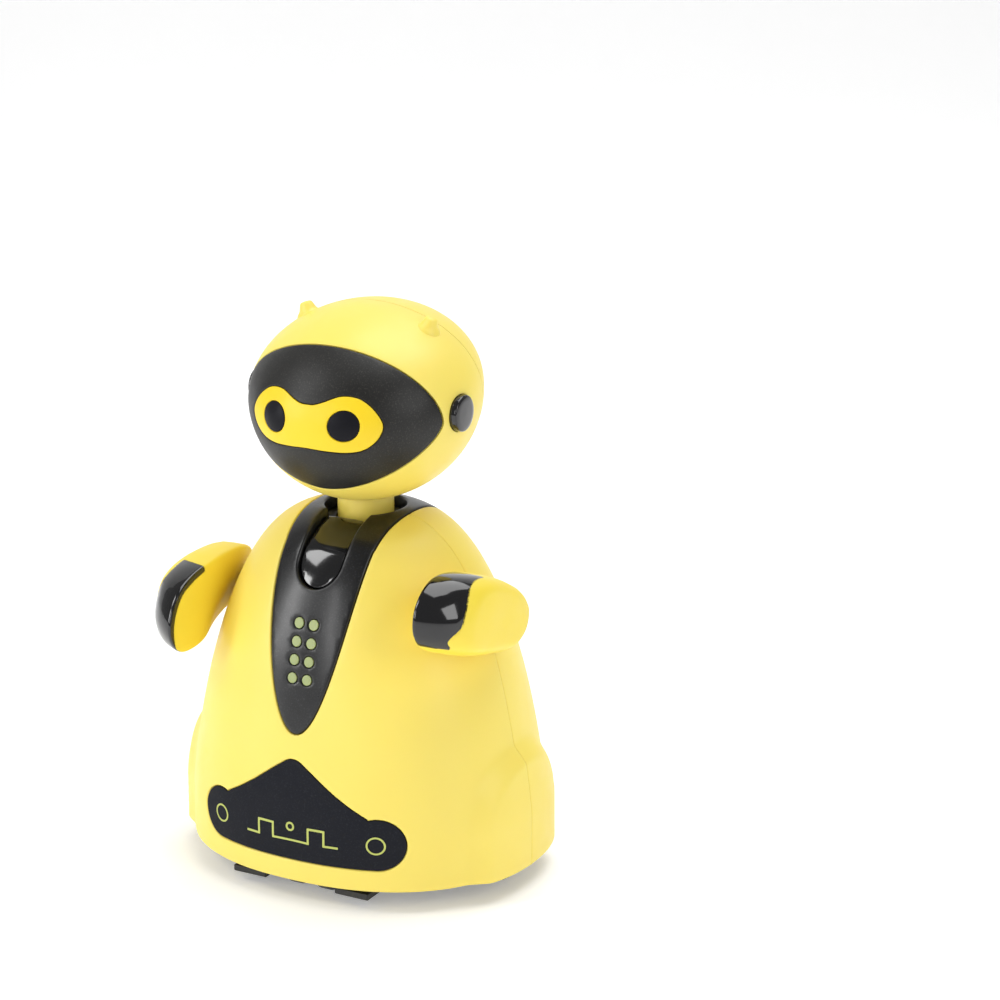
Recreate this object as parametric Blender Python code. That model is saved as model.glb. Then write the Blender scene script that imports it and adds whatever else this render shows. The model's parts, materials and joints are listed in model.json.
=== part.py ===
"""A palm-high educational robot that drives along a drawn line.

Round-shouldered body of two shells on a base with two geared drive wheels and a
pair of small front rollers, a saddle-shaped black panel with a sprung button, two
swinging arms and a nodding-down head that turns on its neck.

Lengths are millimetres and become metres where a mesh is made. The front of the
robot faces -Y, +Z is up, and the origin is on the floor below the neck.
"""

import math

import bmesh
import bpy
from mathutils import Matrix, Vector

MM = 0.001
GAP = 0.3

# Body shells: a rounded-square plan that narrows to a domed top.
BODY_HALF_WIDTH = 36.0
BODY_HALF_DEPTH = 30.5
BODY_BOTTOM = 4.5
BODY_SHOULDER = 15.0
BODY_TOP = 74.3
BODY_SIDE_POWER = 1.27
BODY_CROWN_POWER = 3.44
BODY_PLAN_POWER = 2.25
BODY_WALL = 2.4
BODY_SIDES = 40
CORE_SIDES = 24
BODY_RINGS = 11
CORE_RINGS = 8
SEAM_Y = -1.5

# Raised wheel-arch pad on each side of the body.
FENDER_RISE = 2.2
FENDER_HALF_WIDTH = 16.9
FENDER_CENTRE_Z = 12.0
FENDER_HEIGHT = 17.7
FENDER_POWER = 2.5
FENDER_BEVEL = 0.34

# Saddle panel over the chest, the shoulders and the top of the back.
PANEL_HALF_WIDTH = 9.8
PANEL_TIP_Z = 34.3
PANEL_WIDE_Z = 69.0
PANEL_BACK_Z = 60.0
PANEL_THICKNESS = 1.4
PANEL_LEDGE = 1.5
COLLAR_FLOOR_Z = 71.4
COLLAR_DISH_RADIUS = 8.2
COLLAR_PLUG_RADIUS = 9.3
COLLAR_PLUG_BOTTOM = 69.6

# Tongue button below the neck.
BUTTON_HALF_WIDTH = 4.95
BUTTON_END_Z = 66.8
BUTTON_DROP = 0.9
BUTTON_THICKNESS = 2.4
BUTTON_HINGE_Y = -8.0
BUTTON_HINGE_Z = 72.0

# Two columns of four light dots.
DOT_X = 1.65
DOT_TOP_Z = 55.45
DOT_PITCH = 3.47
DOT_ROWS = 4
DOT_RADIUS = 1.1

# Front name plate, left without lettering: a peaked top and a round lobe at each side.
PLATE_THICKNESS = 0.8
PLATE_PEAK_Z = 29.3
PLATE_LOBE_X = 17.9
PLATE_LOBE_Z = 14.2
PLATE_LOBE_RADIUS = 5.2
PLATE_BOTTOM_Z = 9.0

# Neck and head.
NECK_RADIUS = 5.6
NECK_BOTTOM = 65.6
HEAD_HALF_WIDTH = 23.1
HEAD_HALF_DEPTH = 23.5
HEAD_RISE = 16.8
HEAD_DROP = 21.0
HEAD_CENTRE = Vector((0.0, 0.7, 96.7))
HEAD_TILT = math.radians(14.7)
HEAD_WALL = 3.0
HEAD_SIDES = 28
HEAD_RINGS = 13
HEAD_SEAM = 8.0
MASK_THICKNESS = 1.4
MASK_HALF_WIDTH = 21.7
MASK_CENTRE_Z = 95.0
MASK_RISE = 13.7
MASK_DROP = 14.2
MASK_BACK_Y = -6.0
GOGGLE_LOBE_X = 8.0
GOGGLE_LOBE_Z = 95.6
GOGGLE_LOBE_HALF_WIDTH = 6.3
GOGGLE_LOBE_HALF_HEIGHT = 5.4
GOGGLE_VALLEY_Z = 98.9
EYE_X = 7.7
EYE_Z = 95.5
EYE_RADIUS = 2.95
HORN_X = 13.6
HORN_SLOPE = math.radians(24)
EAR_Y = -1.9
EAR_Z = 95.6
EAR_RADIUS = 3.6

# Arms: each swings on a pin that the two body shells clamp at their seam.
SHOULDER_Z = 54.6
ARM_HALF_HEIGHT = 7.8
ARM_SQUARENESS = 2.9
ARM_PIN_RADIUS = 2.0
CAP_INNER_X = 27.5
CAP_END_SLOPE = 0.8
ARM_SIDES = 16
ARM_SWING_UP = math.radians(36)
ARM_SWING_DOWN = math.radians(14)
ARM_CLEARANCE = 0.7
LEFT_ARM_RAISE = math.radians(19)
RIGHT_ARM_RAISE = math.radians(-6)

# Running gear.
WHEEL_RADIUS = 12.0
WHEEL_INNER_X = 28.0
WHEEL_WIDTH = 5.0
AXLE_RADIUS = 1.5
GEAR_MODULE = 0.5
PINION_TEETH = 10
IDLER_TEETH = 24
WHEEL_GEAR_TEETH = 36
INNER_GEARS_X = 20.2
OUTER_GEARS_X = 26.2
GEAR_WIDTH = 1.6
IDLER_Z = 14.0
MOTOR_Y = -18.2
MOTOR_RADIUS = 5.0
BRACKET_X = 24.6
BRACKET_WIDTH = 1.2
MOTOR_FACE_X = 16.4
ROLLER_RADIUS = 3.0
ROLLER_X = 3.4
ROLLER_Y = -21.5
ROLLER_WIDTH = 4.0

# Base and battery bay.
BASE_BOTTOM = 3.7
BASE_THICKNESS = 1.5
BASE_TOP = BASE_BOTTOM + BASE_THICKNESS
CELL_RADIUS = 5.25
CELL_LENGTH = 44.5
CELL_Z = 10.65
CELL_Y = (2.1, 12.9)
BAY_LOW = (-23.2, -3.5)
BAY_HIGH = (23.2, 18.5)
BAY_WALL = 1.1
BAY_BOTTOM = 5.5
BAY_ROOF_Z = 16.2
DOOR_SCREW = (0.0, -6.7)
FRONT_SCREW = (17.4, -20.2)
REAR_SCREW = (-9.5, 23.6)
SWITCH_X = 7.9
SWITCH_Y = 24.2
SWITCH_TRAVEL = 3.0

COLOURS = {
    "yellow": ((0.93, 0.80, 0.08), 0.42, 0.0),
    "deep_yellow": ((0.95, 0.74, 0.03), 0.38, 0.0),
    "black": ((0.015, 0.015, 0.017), 0.22, 0.0),
    "satin_black": ((0.03, 0.03, 0.032), 0.45, 0.0),
    "plate_grey": ((0.03, 0.035, 0.045), 0.5, 0.0),
    "dot_green": ((0.45, 0.55, 0.28), 0.5, 0.0),
    "rubber": ((0.02, 0.02, 0.02), 0.85, 0.0),
    "board": ((0.02, 0.20, 0.08), 0.5, 0.0),
    "steel": ((0.60, 0.61, 0.63), 0.3, 1.0),
    "gear": ((0.85, 0.85, 0.82), 0.5, 0.0),
    "cell": ((0.10, 0.22, 0.50), 0.35, 0.3),
}


# ---------------------------------------------------------------- mesh tools


def mesh_object(name, points, faces):
    """A closed mesh object from points in millimetres, its faces turned outwards."""
    mesh = bpy.data.meshes.new(name)
    mesh.from_pydata([Vector(p) * MM for p in points], [], faces)
    shape = bmesh.new()
    shape.from_mesh(mesh)
    bmesh.ops.recalc_face_normals(shape, faces=shape.faces)
    shape.to_mesh(mesh)
    shape.free()
    made = bpy.data.objects.new(name, mesh)
    bpy.context.scene.collection.objects.link(made)
    return made


def loft(name, rings, closed=False):
    """Joins rings of equal length. The ends are filled, or joined if closed."""
    count = len(rings[0])
    points = [p for ring in rings for p in ring]
    faces = []
    steps = len(rings) if closed else len(rings) - 1
    for step in range(steps):
        low = step * count
        high = ((step + 1) % len(rings)) * count
        for i in range(count):
            j = (i + 1) % count
            faces.append((low + i, low + j, high + j, high + i))
    if not closed:
        faces.append(tuple(range(count)))
        faces.append(tuple(range(len(points) - count, len(points))))
    return mesh_object(name, points, faces)


def on_axis(axis, u, v, along):
    """The point at (u, v) across an axis and at a distance along it."""
    if axis == "X":
        return Vector((along, u, v))
    if axis == "Y":
        return Vector((u, along, v))
    return Vector((u, v, along))


def prism(name, outline, axis, low, high):
    """An outline of (u, v) points drawn across an axis and extruded along it."""
    rings = [[on_axis(axis, u, v, along) for u, v in outline] for along in (low, high)]
    return loft(name, rings)


def box(name, low, high):
    """A rectangular block between two corners."""
    outline = [(low[0], low[1]), (high[0], low[1]), (high[0], high[1]), (low[0], high[1])]
    return prism(name, outline, "Z", low[2], high[2])


def circle(centre, radius, sides, phase=0.5):
    """Points on a circle in the plane across an axis."""
    turn = 2 * math.pi / sides
    return [
        (centre[0] + radius * math.cos(turn * (i + phase)), centre[1] + radius * math.sin(turn * (i + phase)))
        for i in range(sides)
    ]


def rod(name, axis, centre, radius, low, high, sides=16):
    """A round bar along an axis through centre, given across that axis."""
    return prism(name, circle(centre, radius, sides), axis, low, high)


def turned(name, axis, centre, profile, sides=24, closed=False):
    """A profile of (radius, along) points turned about an axis."""
    rings = [
        [on_axis(axis, u, v, along) for u, v in circle(centre, radius, sides)]
        for radius, along in profile
    ]
    return loft(name, rings, closed)


def weld(mesh):
    """Joins the points that a Boolean leaves a hair's breadth apart."""
    shape = bmesh.new()
    shape.from_mesh(mesh)
    bmesh.ops.remove_doubles(shape, verts=shape.verts, dist=0.002 * MM)
    bmesh.ops.dissolve_degenerate(shape, edges=shape.edges, dist=0.001 * MM)
    shape.to_mesh(mesh)
    shape.free()


def combine(target, tool, operation):
    """Applies an exact Boolean with a tool, which is then removed."""
    modifier = target.modifiers.new("combine", "BOOLEAN")
    modifier.operation = operation
    modifier.solver = "EXACT"
    modifier.object = tool
    bpy.context.view_layer.update()
    depsgraph = bpy.context.evaluated_depsgraph_get()
    result = bpy.data.meshes.new_from_object(target.evaluated_get(depsgraph))
    weld(result)
    target.modifiers.clear()
    before = target.data
    target.data = result
    bpy.data.meshes.remove(before)
    spent = tool.data
    bpy.data.objects.remove(tool)
    bpy.data.meshes.remove(spent)
    return target


def cut(target, *tools):
    """Takes every tool away from the target."""
    for tool in tools:
        combine(target, tool, "DIFFERENCE")
    return target


def keep(target, tool):
    """Leaves only what the target shares with the tool."""
    return combine(target, tool, "INTERSECT")


def add(target, *tools):
    """Joins every tool to the target as one body."""
    for tool in tools:
        combine(target, tool, "UNION")
    return target


def copy_of(source, name, matrix):
    """A second solid with the source's shape, moved by a matrix in millimetres."""
    mesh = source.data.copy()
    mesh.transform(Matrix.Scale(1 / MM, 4))
    mesh.transform(matrix)
    mesh.transform(Matrix.Scale(MM, 4))
    if matrix.determinant() < 0:
        mesh.flip_normals()
    made = bpy.data.objects.new(name, mesh)
    bpy.context.scene.collection.objects.link(made)
    return made


def mirrored(source, name):
    """The same solid on the other side of the robot."""
    return copy_of(source, name, Matrix.Scale(-1, 4, Vector((1, 0, 0))))


def material(name):
    """The named plastic, rubber or metal."""
    found = bpy.data.materials.get(name)
    if found:
        return found
    colour, roughness, metallic = COLOURS[name]
    made = bpy.data.materials.new(name)
    made.use_nodes = True
    shader = made.node_tree.nodes["Principled BSDF"]
    shader.inputs["Base Color"].default_value = (*colour, 1.0)
    shader.inputs["Roughness"].default_value = roughness
    shader.inputs["Metallic"].default_value = metallic
    made.diffuse_color = (*colour, 1.0)
    return made


def finish(solid, name, finish_name, pivot=(0.0, 0.0, 0.0)):
    """Names a solid, gives it its material and puts its origin on its pivot."""
    solid.name = name
    solid.data.name = name
    solid.data.materials.clear()
    solid.data.materials.append(material(finish_name))
    solid.data.polygons.foreach_set("use_smooth", [True] * len(solid.data.polygons))
    solid.data.set_sharp_from_angle(angle=math.radians(35))
    place = Vector(pivot) * MM
    solid.data.transform(Matrix.Translation(-place))
    solid.location = place
    return solid


# ---------------------------------------------------------------- body surface


def smooth_step(x):
    """0 below 0, 1 above 1, with soft ends between."""
    x = min(1.0, max(0.0, x))
    return x * x * (3 - 2 * x)


def fender_bulge(y, z):
    """How far the wheel-arch pad stands out of the body's side."""
    across = (abs(y) / FENDER_HALF_WIDTH) ** FENDER_POWER
    up = (max(0.0, z - FENDER_CENTRE_Z) / FENDER_HEIGHT) ** FENDER_POWER
    reach = (across + up) ** (1 / FENDER_POWER)
    return FENDER_RISE * smooth_step((1 - reach) / FENDER_BEVEL)


def body_narrowing(z, inset):
    """The body section's share of its full size at a height."""
    share = max(0.0, z - BODY_SHOULDER) / (BODY_TOP - inset - BODY_SHOULDER)
    return max(0.0, 1 - share**BODY_SIDE_POWER) ** (1 / BODY_CROWN_POWER)


def plan_ring(half_width, half_depth, power, sides):
    """A rounded square in plan, as points round its outline."""
    points = []
    for i in range(sides):
        angle = 2 * math.pi * (i + 0.5) / sides
        c, s = math.cos(angle), math.sin(angle)
        x = math.copysign(abs(c) ** (2 / power), c) * half_width
        y = math.copysign(abs(s) ** (2 / power), s) * half_depth
        points.append((x, y))
    return points


def body_ring(z, inset, sides=BODY_SIDES):
    """The body's outline at a height, drawn in by an inset."""
    share = body_narrowing(z, inset)
    half_width = BODY_HALF_WIDTH * share - inset
    half_depth = BODY_HALF_DEPTH * share - inset
    ring = []
    for x, y in plan_ring(half_width, half_depth, BODY_PLAN_POWER, sides):
        bulge = fender_bulge(y, z)
        ring.append(Vector((x + math.copysign(bulge, x), y, z)))
    return ring


def body_solid(name, inset, bottom=BODY_BOTTOM, sides=BODY_SIDES, rings=BODY_RINGS):
    """The body's outer form as a filled solid, drawn in by an inset."""
    rise = BODY_TOP - inset - BODY_SHOULDER
    heights = [bottom, 0.5 * (bottom + BODY_SHOULDER), BODY_SHOULDER]
    for step in range(1, rings):
        angle = math.radians(87) * (step / (rings - 1)) ** 0.8
        heights.append(BODY_SHOULDER + rise * math.sin(angle) ** (2 / BODY_SIDE_POWER))
    return loft(name, [body_ring(z, inset, sides) for z in heights])


def body_front_y(z, inset=0.0):
    """Where the body's front surface is on its centre line."""
    return -(BODY_HALF_DEPTH * body_narrowing(z, inset) - inset)


def body_skin(name, outer, inner):
    """A layer of the body between two insets, open below."""
    return cut(body_solid(name, outer), body_solid("core", inner, BODY_BOTTOM - 3))


def body_wall(name):
    """The body's full wall, open below, with a plainer surface inside."""
    return cut(
        body_solid(name, 0.0), body_solid("core", BODY_WALL, BODY_BOTTOM - 3, CORE_SIDES, CORE_RINGS)
    )


# ---------------------------------------------------------------- outlines


def panel_front_half_width(z, growth):
    """Half the bib's width at a height, before its round tip."""
    low = PANEL_TIP_Z - growth
    share = min(1.0, max(0.0, (PANEL_WIDE_Z - z) / (PANEL_WIDE_Z - low)))
    return (PANEL_HALF_WIDTH + growth) * math.sqrt(1 - share**1.5)


def panel_outline(growth):
    """The bib's outline, seen from the front and open above the body."""
    low = PANEL_TIP_Z - growth
    side = []
    for step in range(1, 9):
        z = low + (PANEL_WIDE_Z - low) * (step / 8) ** 1.8
        side.append((panel_front_half_width(z, growth), z))
    side.append((PANEL_HALF_WIDTH + 0.9 + growth, BODY_TOP))
    side.append((PANEL_HALF_WIDTH + 0.9 + growth, BODY_TOP + 6))
    return [(0.0, low)] + side + [(-x, z) for x, z in reversed(side)]


def back_outline(growth):
    """The saddle's rear end, seen from behind, with a round lower edge."""
    half_width = PANEL_HALF_WIDTH + 0.5 + growth
    centre_z = PANEL_BACK_Z + PANEL_HALF_WIDTH
    side = []
    for step in range(1, 6):
        angle = math.radians(18 * step)
        side.append((half_width * math.sin(angle), centre_z - half_width * math.cos(angle)))
    side.append((PANEL_HALF_WIDTH + 0.9 + growth, BODY_TOP))
    side.append((PANEL_HALF_WIDTH + 0.9 + growth, BODY_TOP + 6))
    return [(0.0, centre_z - half_width)] + side + [(-x, z) for x, z in reversed(side)]


def panel_form(growth, reach=50.0):
    """The saddle's outline as a solid, for shaping the panel and its recess."""
    front = prism("bib", panel_outline(growth), "Y", -reach, 0.02)
    back = prism("back", back_outline(growth), "Y", -0.02, reach)
    return add(front, back)


def tongue_outline(growth):
    """The button's outline, seen from the front: round below, straight sides above."""
    radius = BUTTON_HALF_WIDTH + growth
    arc = [
        (radius * math.sin(math.radians(a)), BUTTON_END_Z - radius * math.cos(math.radians(a)))
        for a in range(-90, 91, 18)
    ]
    return [(-radius, BODY_TOP + 6)] + arc + [(radius, BODY_TOP + 6)]


def plate_outline(growth):
    """The front plate's outline: a low roof between two round lobes."""
    radius = PLATE_LOBE_RADIUS + growth
    lobe = []
    for angle in range(-90, 136, 25):
        turn = math.radians(angle)
        lobe.append((PLATE_LOBE_X + radius * math.cos(turn), PLATE_LOBE_Z + radius * math.sin(turn)))
    peak = [(1.2, PLATE_PEAK_Z - 0.5 + growth), (0.0, PLATE_PEAK_Z + growth)]
    right = lobe + peak
    left = [(-x, z) for x, z in reversed(right[:-1])]
    return right + left + [(-6.0, PLATE_BOTTOM_Z - growth), (6.0, PLATE_BOTTOM_Z - growth)]


def mask_outline(growth):
    """The visor's outline, seen from the front: an oval with a slightly pointed chin."""
    points = []
    for step in range(28):
        angle = 2 * math.pi * step / 28
        c, s = math.cos(angle), math.sin(angle)
        power = 2.0 if s > 0 else 1.7
        height = MASK_RISE if s > 0 else MASK_DROP
        x = math.copysign(abs(c) ** (2 / power), c) * (MASK_HALF_WIDTH + growth)
        z = MASK_CENTRE_Z + math.copysign(abs(s) ** (2 / power), s) * (height + growth)
        points.append((x, z))
    return points


def goggle_outline(growth):
    """Two round lobes joined by a bridge with a shallow valley on top."""
    right = []
    for angle in range(-90, 121, 15):
        turn = math.radians(angle)
        x = GOGGLE_LOBE_X + (GOGGLE_LOBE_HALF_WIDTH + growth) * math.cos(turn)
        z = GOGGLE_LOBE_Z + (GOGGLE_LOBE_HALF_HEIGHT + growth) * math.sin(turn)
        right.append((x, z))
    right.append((2.2, GOGGLE_VALLEY_Z + 0.5 + growth))
    left = [(-x, z) for x, z in reversed(right)]
    return right + [(0.0, GOGGLE_VALLEY_Z + growth)] + left


# ---------------------------------------------------------------- body pieces


def seam_half(solid, front):
    """Keeps the part of a solid in front of or behind the shells' seam."""
    if front:
        low, high = (-60, -60, -5), (60, SEAM_Y - GAP / 2, 90)
    else:
        low, high = (-60, SEAM_Y + GAP / 2, -5), (60, 60, 90)
    return keep(solid, box("half", low, high))


def shell_with_openings(name):
    """The whole body shell with its panel recess and its neck and shoulder holes."""
    shell = body_wall(name)
    recess = cut(panel_form(GAP), body_solid("core", PANEL_THICKNESS + GAP))
    window = panel_form(-PANEL_LEDGE)
    shoulder = rod("bore", "X", (SEAM_Y, SHOULDER_Z), ARM_PIN_RADIUS + 0.4, -40, 40)
    plug = rod("plug_bore", "Z", (0, 0), COLLAR_PLUG_RADIUS + GAP, 60, 90, 28)
    return cut(shell, recess, window, shoulder, plug)


def screw_boss(name, place, rib_low, rib_high):
    """A tapped boss that a base screw bites into, with the rib that ties it to the wall."""
    boss = rod(name, "Z", place, 2.2, BAY_BOTTOM, 12.0, 12)
    rib = box("rib", (*rib_low, BAY_BOTTOM), (*rib_high, 12.0))
    add(boss, rib)
    return cut(boss, rod("tap", "Z", place, 1.3, BAY_BOTTOM - 1, 11.2, 12))


def make_front_shell():
    shell = seam_half(shell_with_openings("front_shell"), True)
    plate_recess = prism("plate", plate_outline(GAP), "Y", -45, -12)
    cut(plate_recess, body_solid("core", PLATE_THICKNESS + GAP))
    cut(shell, plate_recess)
    x, y = FRONT_SCREW
    for side in (-1, 1):
        low = (min(side * (x - 0.6), side * (x + 0.6)), y - 5.6)
        high = (max(side * (x - 0.6), side * (x + 0.6)), y)
        add(shell, screw_boss("boss", (side * x, y), low, high))
    return finish(shell, "front_shell", "yellow")


def make_rear_shell():
    shell = seam_half(shell_with_openings("rear_shell"), False)
    for ring_radius, count in ((0.0, 1), (4.0, 6)):
        for i in range(count):
            turn = 2 * math.pi * i / count
            hole = (ring_radius * math.cos(turn), 40.0 + ring_radius * math.sin(turn))
            cut(shell, rod("sound_hole", "Y", hole, 0.9, 15, 40, 10))
    x, y = REAR_SCREW
    add(shell, screw_boss("boss", REAR_SCREW, (x - 0.6, y), (x + 0.6, y + 4.6)))
    return finish(shell, "rear_shell", "yellow")


def dot_places():
    """Centre of each light dot, seen from the front."""
    return [
        (side * DOT_X, DOT_TOP_Z - row * DOT_PITCH)
        for row in range(DOT_ROWS)
        for side in (-1, 1)
    ]


def make_chest_panel():
    panel = keep(body_skin("chest_panel", 0.0, PANEL_THICKNESS), panel_form(0.0))
    plug = rod("plug", "Z", (0, 0), COLLAR_PLUG_RADIUS, COLLAR_PLUG_BOTTOM, COLLAR_FLOOR_Z + 1.6, 28)
    add(panel, plug)
    cut(panel, rod("dish", "Z", (0, 0), COLLAR_DISH_RADIUS, COLLAR_FLOOR_Z, 85, 28))
    cut(panel, rod("neck_hole", "Z", (0, 0), NECK_RADIUS + GAP, 60, 85, 24))
    slot = prism("slot", tongue_outline(0.0), "Y", -40, -COLLAR_DISH_RADIUS + 1.5)
    cut(slot, rod("plug_wall", "Z", (0, 0), COLLAR_PLUG_RADIUS + GAP, 60, COLLAR_FLOOR_Z, 28))
    cut(panel, slot)
    for place in dot_places():
        cut(panel, rod("dot", "Y", place, DOT_RADIUS + GAP, -40, -12, 8))
    return finish(panel, "chest_panel", "satin_black")


def make_mode_button():
    button = cut(
        body_solid("mode_button", BUTTON_DROP), body_solid("core", BUTTON_DROP + BUTTON_THICKNESS)
    )
    keep(button, prism("tongue", tongue_outline(-GAP), "Y", -40, -5))
    cut(button, rod("plug_wall", "Z", (0, 0), COLLAR_PLUG_RADIUS + 2 * GAP, 50, COLLAR_FLOOR_Z + GAP, 28))
    cut(button, rod("neck", "Z", (0, 0), COLLAR_DISH_RADIUS - 1.2, 50, 85, 28))
    return finish(button, "mode_button", "black", (0.0, BUTTON_HINGE_Y, BUTTON_HINGE_Z))


def make_light_guide():
    bottom_z = DOT_TOP_Z - (DOT_ROWS - 1) * DOT_PITCH
    web_back = body_front_y(DOT_TOP_Z) + 3.0
    guide = box("light_guide", (-3.2, web_back, bottom_z - 2), (3.2, web_back + 1.2, DOT_TOP_Z + 2))
    for x, z in dot_places():
        face = body_front_y(z - DOT_RADIUS) + 0.35
        add(guide, rod("pip", "Y", (x, z), DOT_RADIUS, face, web_back + 0.5, 8))
    return finish(guide, "light_guide", "dot_green")


def make_button_board():
    board_y = -12.2
    board = box("button_board", (-6.5, board_y, 42), (6.5, board_y + 1.2, 63.5))
    return finish(board, "button_board", "board")


def make_tact_switch():
    can = box("tact_switch", (-2.9, -14.2, 58.2), (2.9, -12.5, 62.9))
    add(can, rod("plunger", "Y", (0, 61.9), 1.2, -14.8, -14.0, 10))
    return finish(can, "tact_switch", "black")


def make_front_plate():
    plate = keep(
        body_skin("front_plate", 0.0, PLATE_THICKNESS), prism("outline", plate_outline(0.0), "Y", -45, -12)
    )
    return finish(plate, "front_plate", "plate_grey")


# ---------------------------------------------------------------- head pieces


def head_to_world(point):
    """A point in the head's own tilted axes, in the robot's axes."""
    turn = Matrix.Rotation(HEAD_TILT, 3, "X")
    return HEAD_CENTRE + turn @ Vector(point)


def head_solid(name, inset, sides=HEAD_SIDES, rings=HEAD_RINGS):
    """The head's outer form, flatter above its middle than below it."""
    levels = []
    for step in range(1, rings):
        angle = math.pi * (step / rings - 0.5)
        depth = (HEAD_RISE if angle > 0 else HEAD_DROP) - inset
        share = math.cos(angle)
        outline = plan_ring(
            (HEAD_HALF_WIDTH - inset) * share, (HEAD_HALF_DEPTH - inset) * share, 2.0, sides
        )
        levels.append([head_to_world((x, y, depth * math.sin(angle))) for x, y in outline])
    return loft(name, levels)


def head_skin(name, outer, inner):
    """A layer of the head between two insets."""
    skin = head_solid(name, outer)
    return cut(skin, head_solid("core", inner))


def head_half(solid, front):
    """Keeps the part of a head solid in front of or behind the head's seam."""
    if front:
        low, high = (-40, -50, -50), (40, HEAD_SEAM - GAP / 2, 50)
    else:
        low, high = (-40, HEAD_SEAM + GAP / 2, -50), (40, 50, 50)
    cutter = box("half", low, high)
    placed = copy_of(
        cutter, "placed", Matrix.Translation(HEAD_CENTRE) @ Matrix.Rotation(HEAD_TILT, 4, "X")
    )
    bpy.data.objects.remove(cutter)
    return keep(solid, placed)


def make_horn(side):
    """A blunt nub on top of the head, standing square to its surface."""
    slope = math.asin(HORN_X / HEAD_HALF_WIDTH)
    height = HEAD_RISE * math.cos(slope)
    base = head_to_world((side * HORN_X, 4.6, height))
    lean = side * HORN_SLOPE
    turn = Matrix.Translation(base) @ Matrix.Rotation(lean, 4, "Y")
    profile = [(2.4, -2.5), (2.1, 0.4), (1.6, 2.0), (0.9, 2.4)]
    upright = turned("horn", "Z", (0, 0), profile, 12)
    placed = copy_of(upright, "horn_placed", turn)
    bpy.data.objects.remove(upright)
    return placed


def ear_recess(side, radius, depth):
    """A round pocket in the side of the head."""
    outer = side * (HEAD_HALF_WIDTH + 4)
    inner = side * (HEAD_HALF_WIDTH - depth)
    return rod("ear", "X", (EAR_Y, EAR_Z), radius, min(outer, inner), max(outer, inner), 20)


def make_head_shells():
    whole = head_solid("whole", 0.0)
    for side in (-1, 1):
        add(whole, make_horn(side))
    cut(whole, head_solid("core", HEAD_WALL, CORE_SIDES, 9))
    recess = prism("recess", mask_outline(GAP), "Y", -40, MASK_BACK_Y + GAP)
    cut(recess, head_solid("core", MASK_THICKNESS + GAP))
    cut(whole, recess, rod("neck", "Z", (0, 0), NECK_RADIUS + GAP, 60, 90, 24))
    for side in (-1, 1):
        cut(whole, ear_recess(side, EAR_RADIUS + GAP, 1.6))
        cut(whole, rod("lamp", "Y", (side * EYE_X, EYE_Z), EYE_RADIUS - 0.6, -40, -10, 14))
    rear = copy_of(whole, "rear", Matrix.Identity(4))
    finish(head_half(whole, True), "head_front_shell", "yellow")
    finish(head_half(rear, False), "head_rear_shell", "yellow")


def make_face():
    oval = prism("oval", mask_outline(0.0), "Y", -40, MASK_BACK_Y)
    mask = keep(head_skin("visor_mask", 0.0, MASK_THICKNESS), oval)
    cut(mask, prism("window", goggle_outline(GAP), "Y", -40, -2))
    finish(mask, "visor_mask", "satin_black")
    goggles = keep(
        head_skin("goggle_insert", 0.1, MASK_THICKNESS), prism("lobes", goggle_outline(0.0), "Y", -40, -2)
    )
    for side, label in ((1, "left"), (-1, "right")):
        place = (side * EYE_X, EYE_Z)
        cut(goggles, rod("eye_hole", "Y", place, EYE_RADIUS + GAP, -40, -2, 20))
        lens = keep(
            head_skin("lens", 0.0, MASK_THICKNESS), rod("eye", "Y", place, EYE_RADIUS, -40, -2, 20)
        )
        finish(lens, "eye_lens_" + label, "black")
    finish(goggles, "goggle_insert", "deep_yellow")


def make_ear_cap(side, label):
    inner = side * (HEAD_HALF_WIDTH - 1.3)
    rim = side * (HEAD_HALF_WIDTH + 0.5)
    crown = side * (HEAD_HALF_WIDTH + 0.9)
    profile = [(EAR_RADIUS, inner), (EAR_RADIUS, rim - side * 0.3), (EAR_RADIUS - 0.4, rim), (1.6, crown)]
    cap = turned("ear_cap", "X", (EAR_Y, EAR_Z), profile, 20)
    finish(cap, "ear_cap_" + label, "black")


def make_eye_board():
    board = box("eye_board", (-10.2, -14.4, 91), (10.2, -13.2, 99))
    for side in (-1, 1):
        add(board, rod("lamp", "Y", (side * EYE_X, EYE_Z), 1.8, -17.2, -13.8, 12))
    finish(board, "eye_board", "board")


def make_neck():
    profile = [
        (3.4, NECK_BOTTOM),
        (NECK_RADIUS - 1.0, NECK_BOTTOM),
        (NECK_RADIUS - 1.0, NECK_BOTTOM + 3.0),
        (NECK_RADIUS, NECK_BOTTOM + 3.0),
        (NECK_RADIUS, 82.6),
        (7.2, 82.6),
        (7.2, 84.0),
        (3.4, 84.0),
    ]
    finish(turned("neck_post", "Z", (0, 0), profile, 24, True), "neck_post", "yellow")
    clip = [(NECK_RADIUS - 0.7, 67.2), (7.4, 67.2), (7.4, 68.2), (NECK_RADIUS - 0.7, 68.2)]
    finish(turned("neck_clip", "Z", (0, 0), clip, 20, True), "neck_clip", "steel")


# ---------------------------------------------------------------- arms


def stadium(inner, outer, top, bottom, ridge_lean):
    """An upright section between two points in plan, with its ridge leaning to the inner side.

    top and bottom are shares of the arm's half height, above and below the shoulder.
    """
    inner, outer = Vector((*inner, 0)), Vector((*outer, 0))
    middle, across = (inner + outer) / 2, (outer - inner) / 2
    centre = SHOULDER_Z + ARM_HALF_HEIGHT * (top - bottom) / 2
    half_height = ARM_HALF_HEIGHT * (top + bottom) / 2
    ring = []
    for u, v in plan_ring(1.0, 1.0, ARM_SQUARENESS, ARM_SIDES):
        lean = 2 * ridge_lean * max(v, 0.0) ** 2
        place = middle + across * (u - lean) + Vector((0, 0, centre + half_height * v))
        ring.append(Vector((max(place.x, swing_reach(place)), place.y, place.z)))
    return ring


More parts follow.
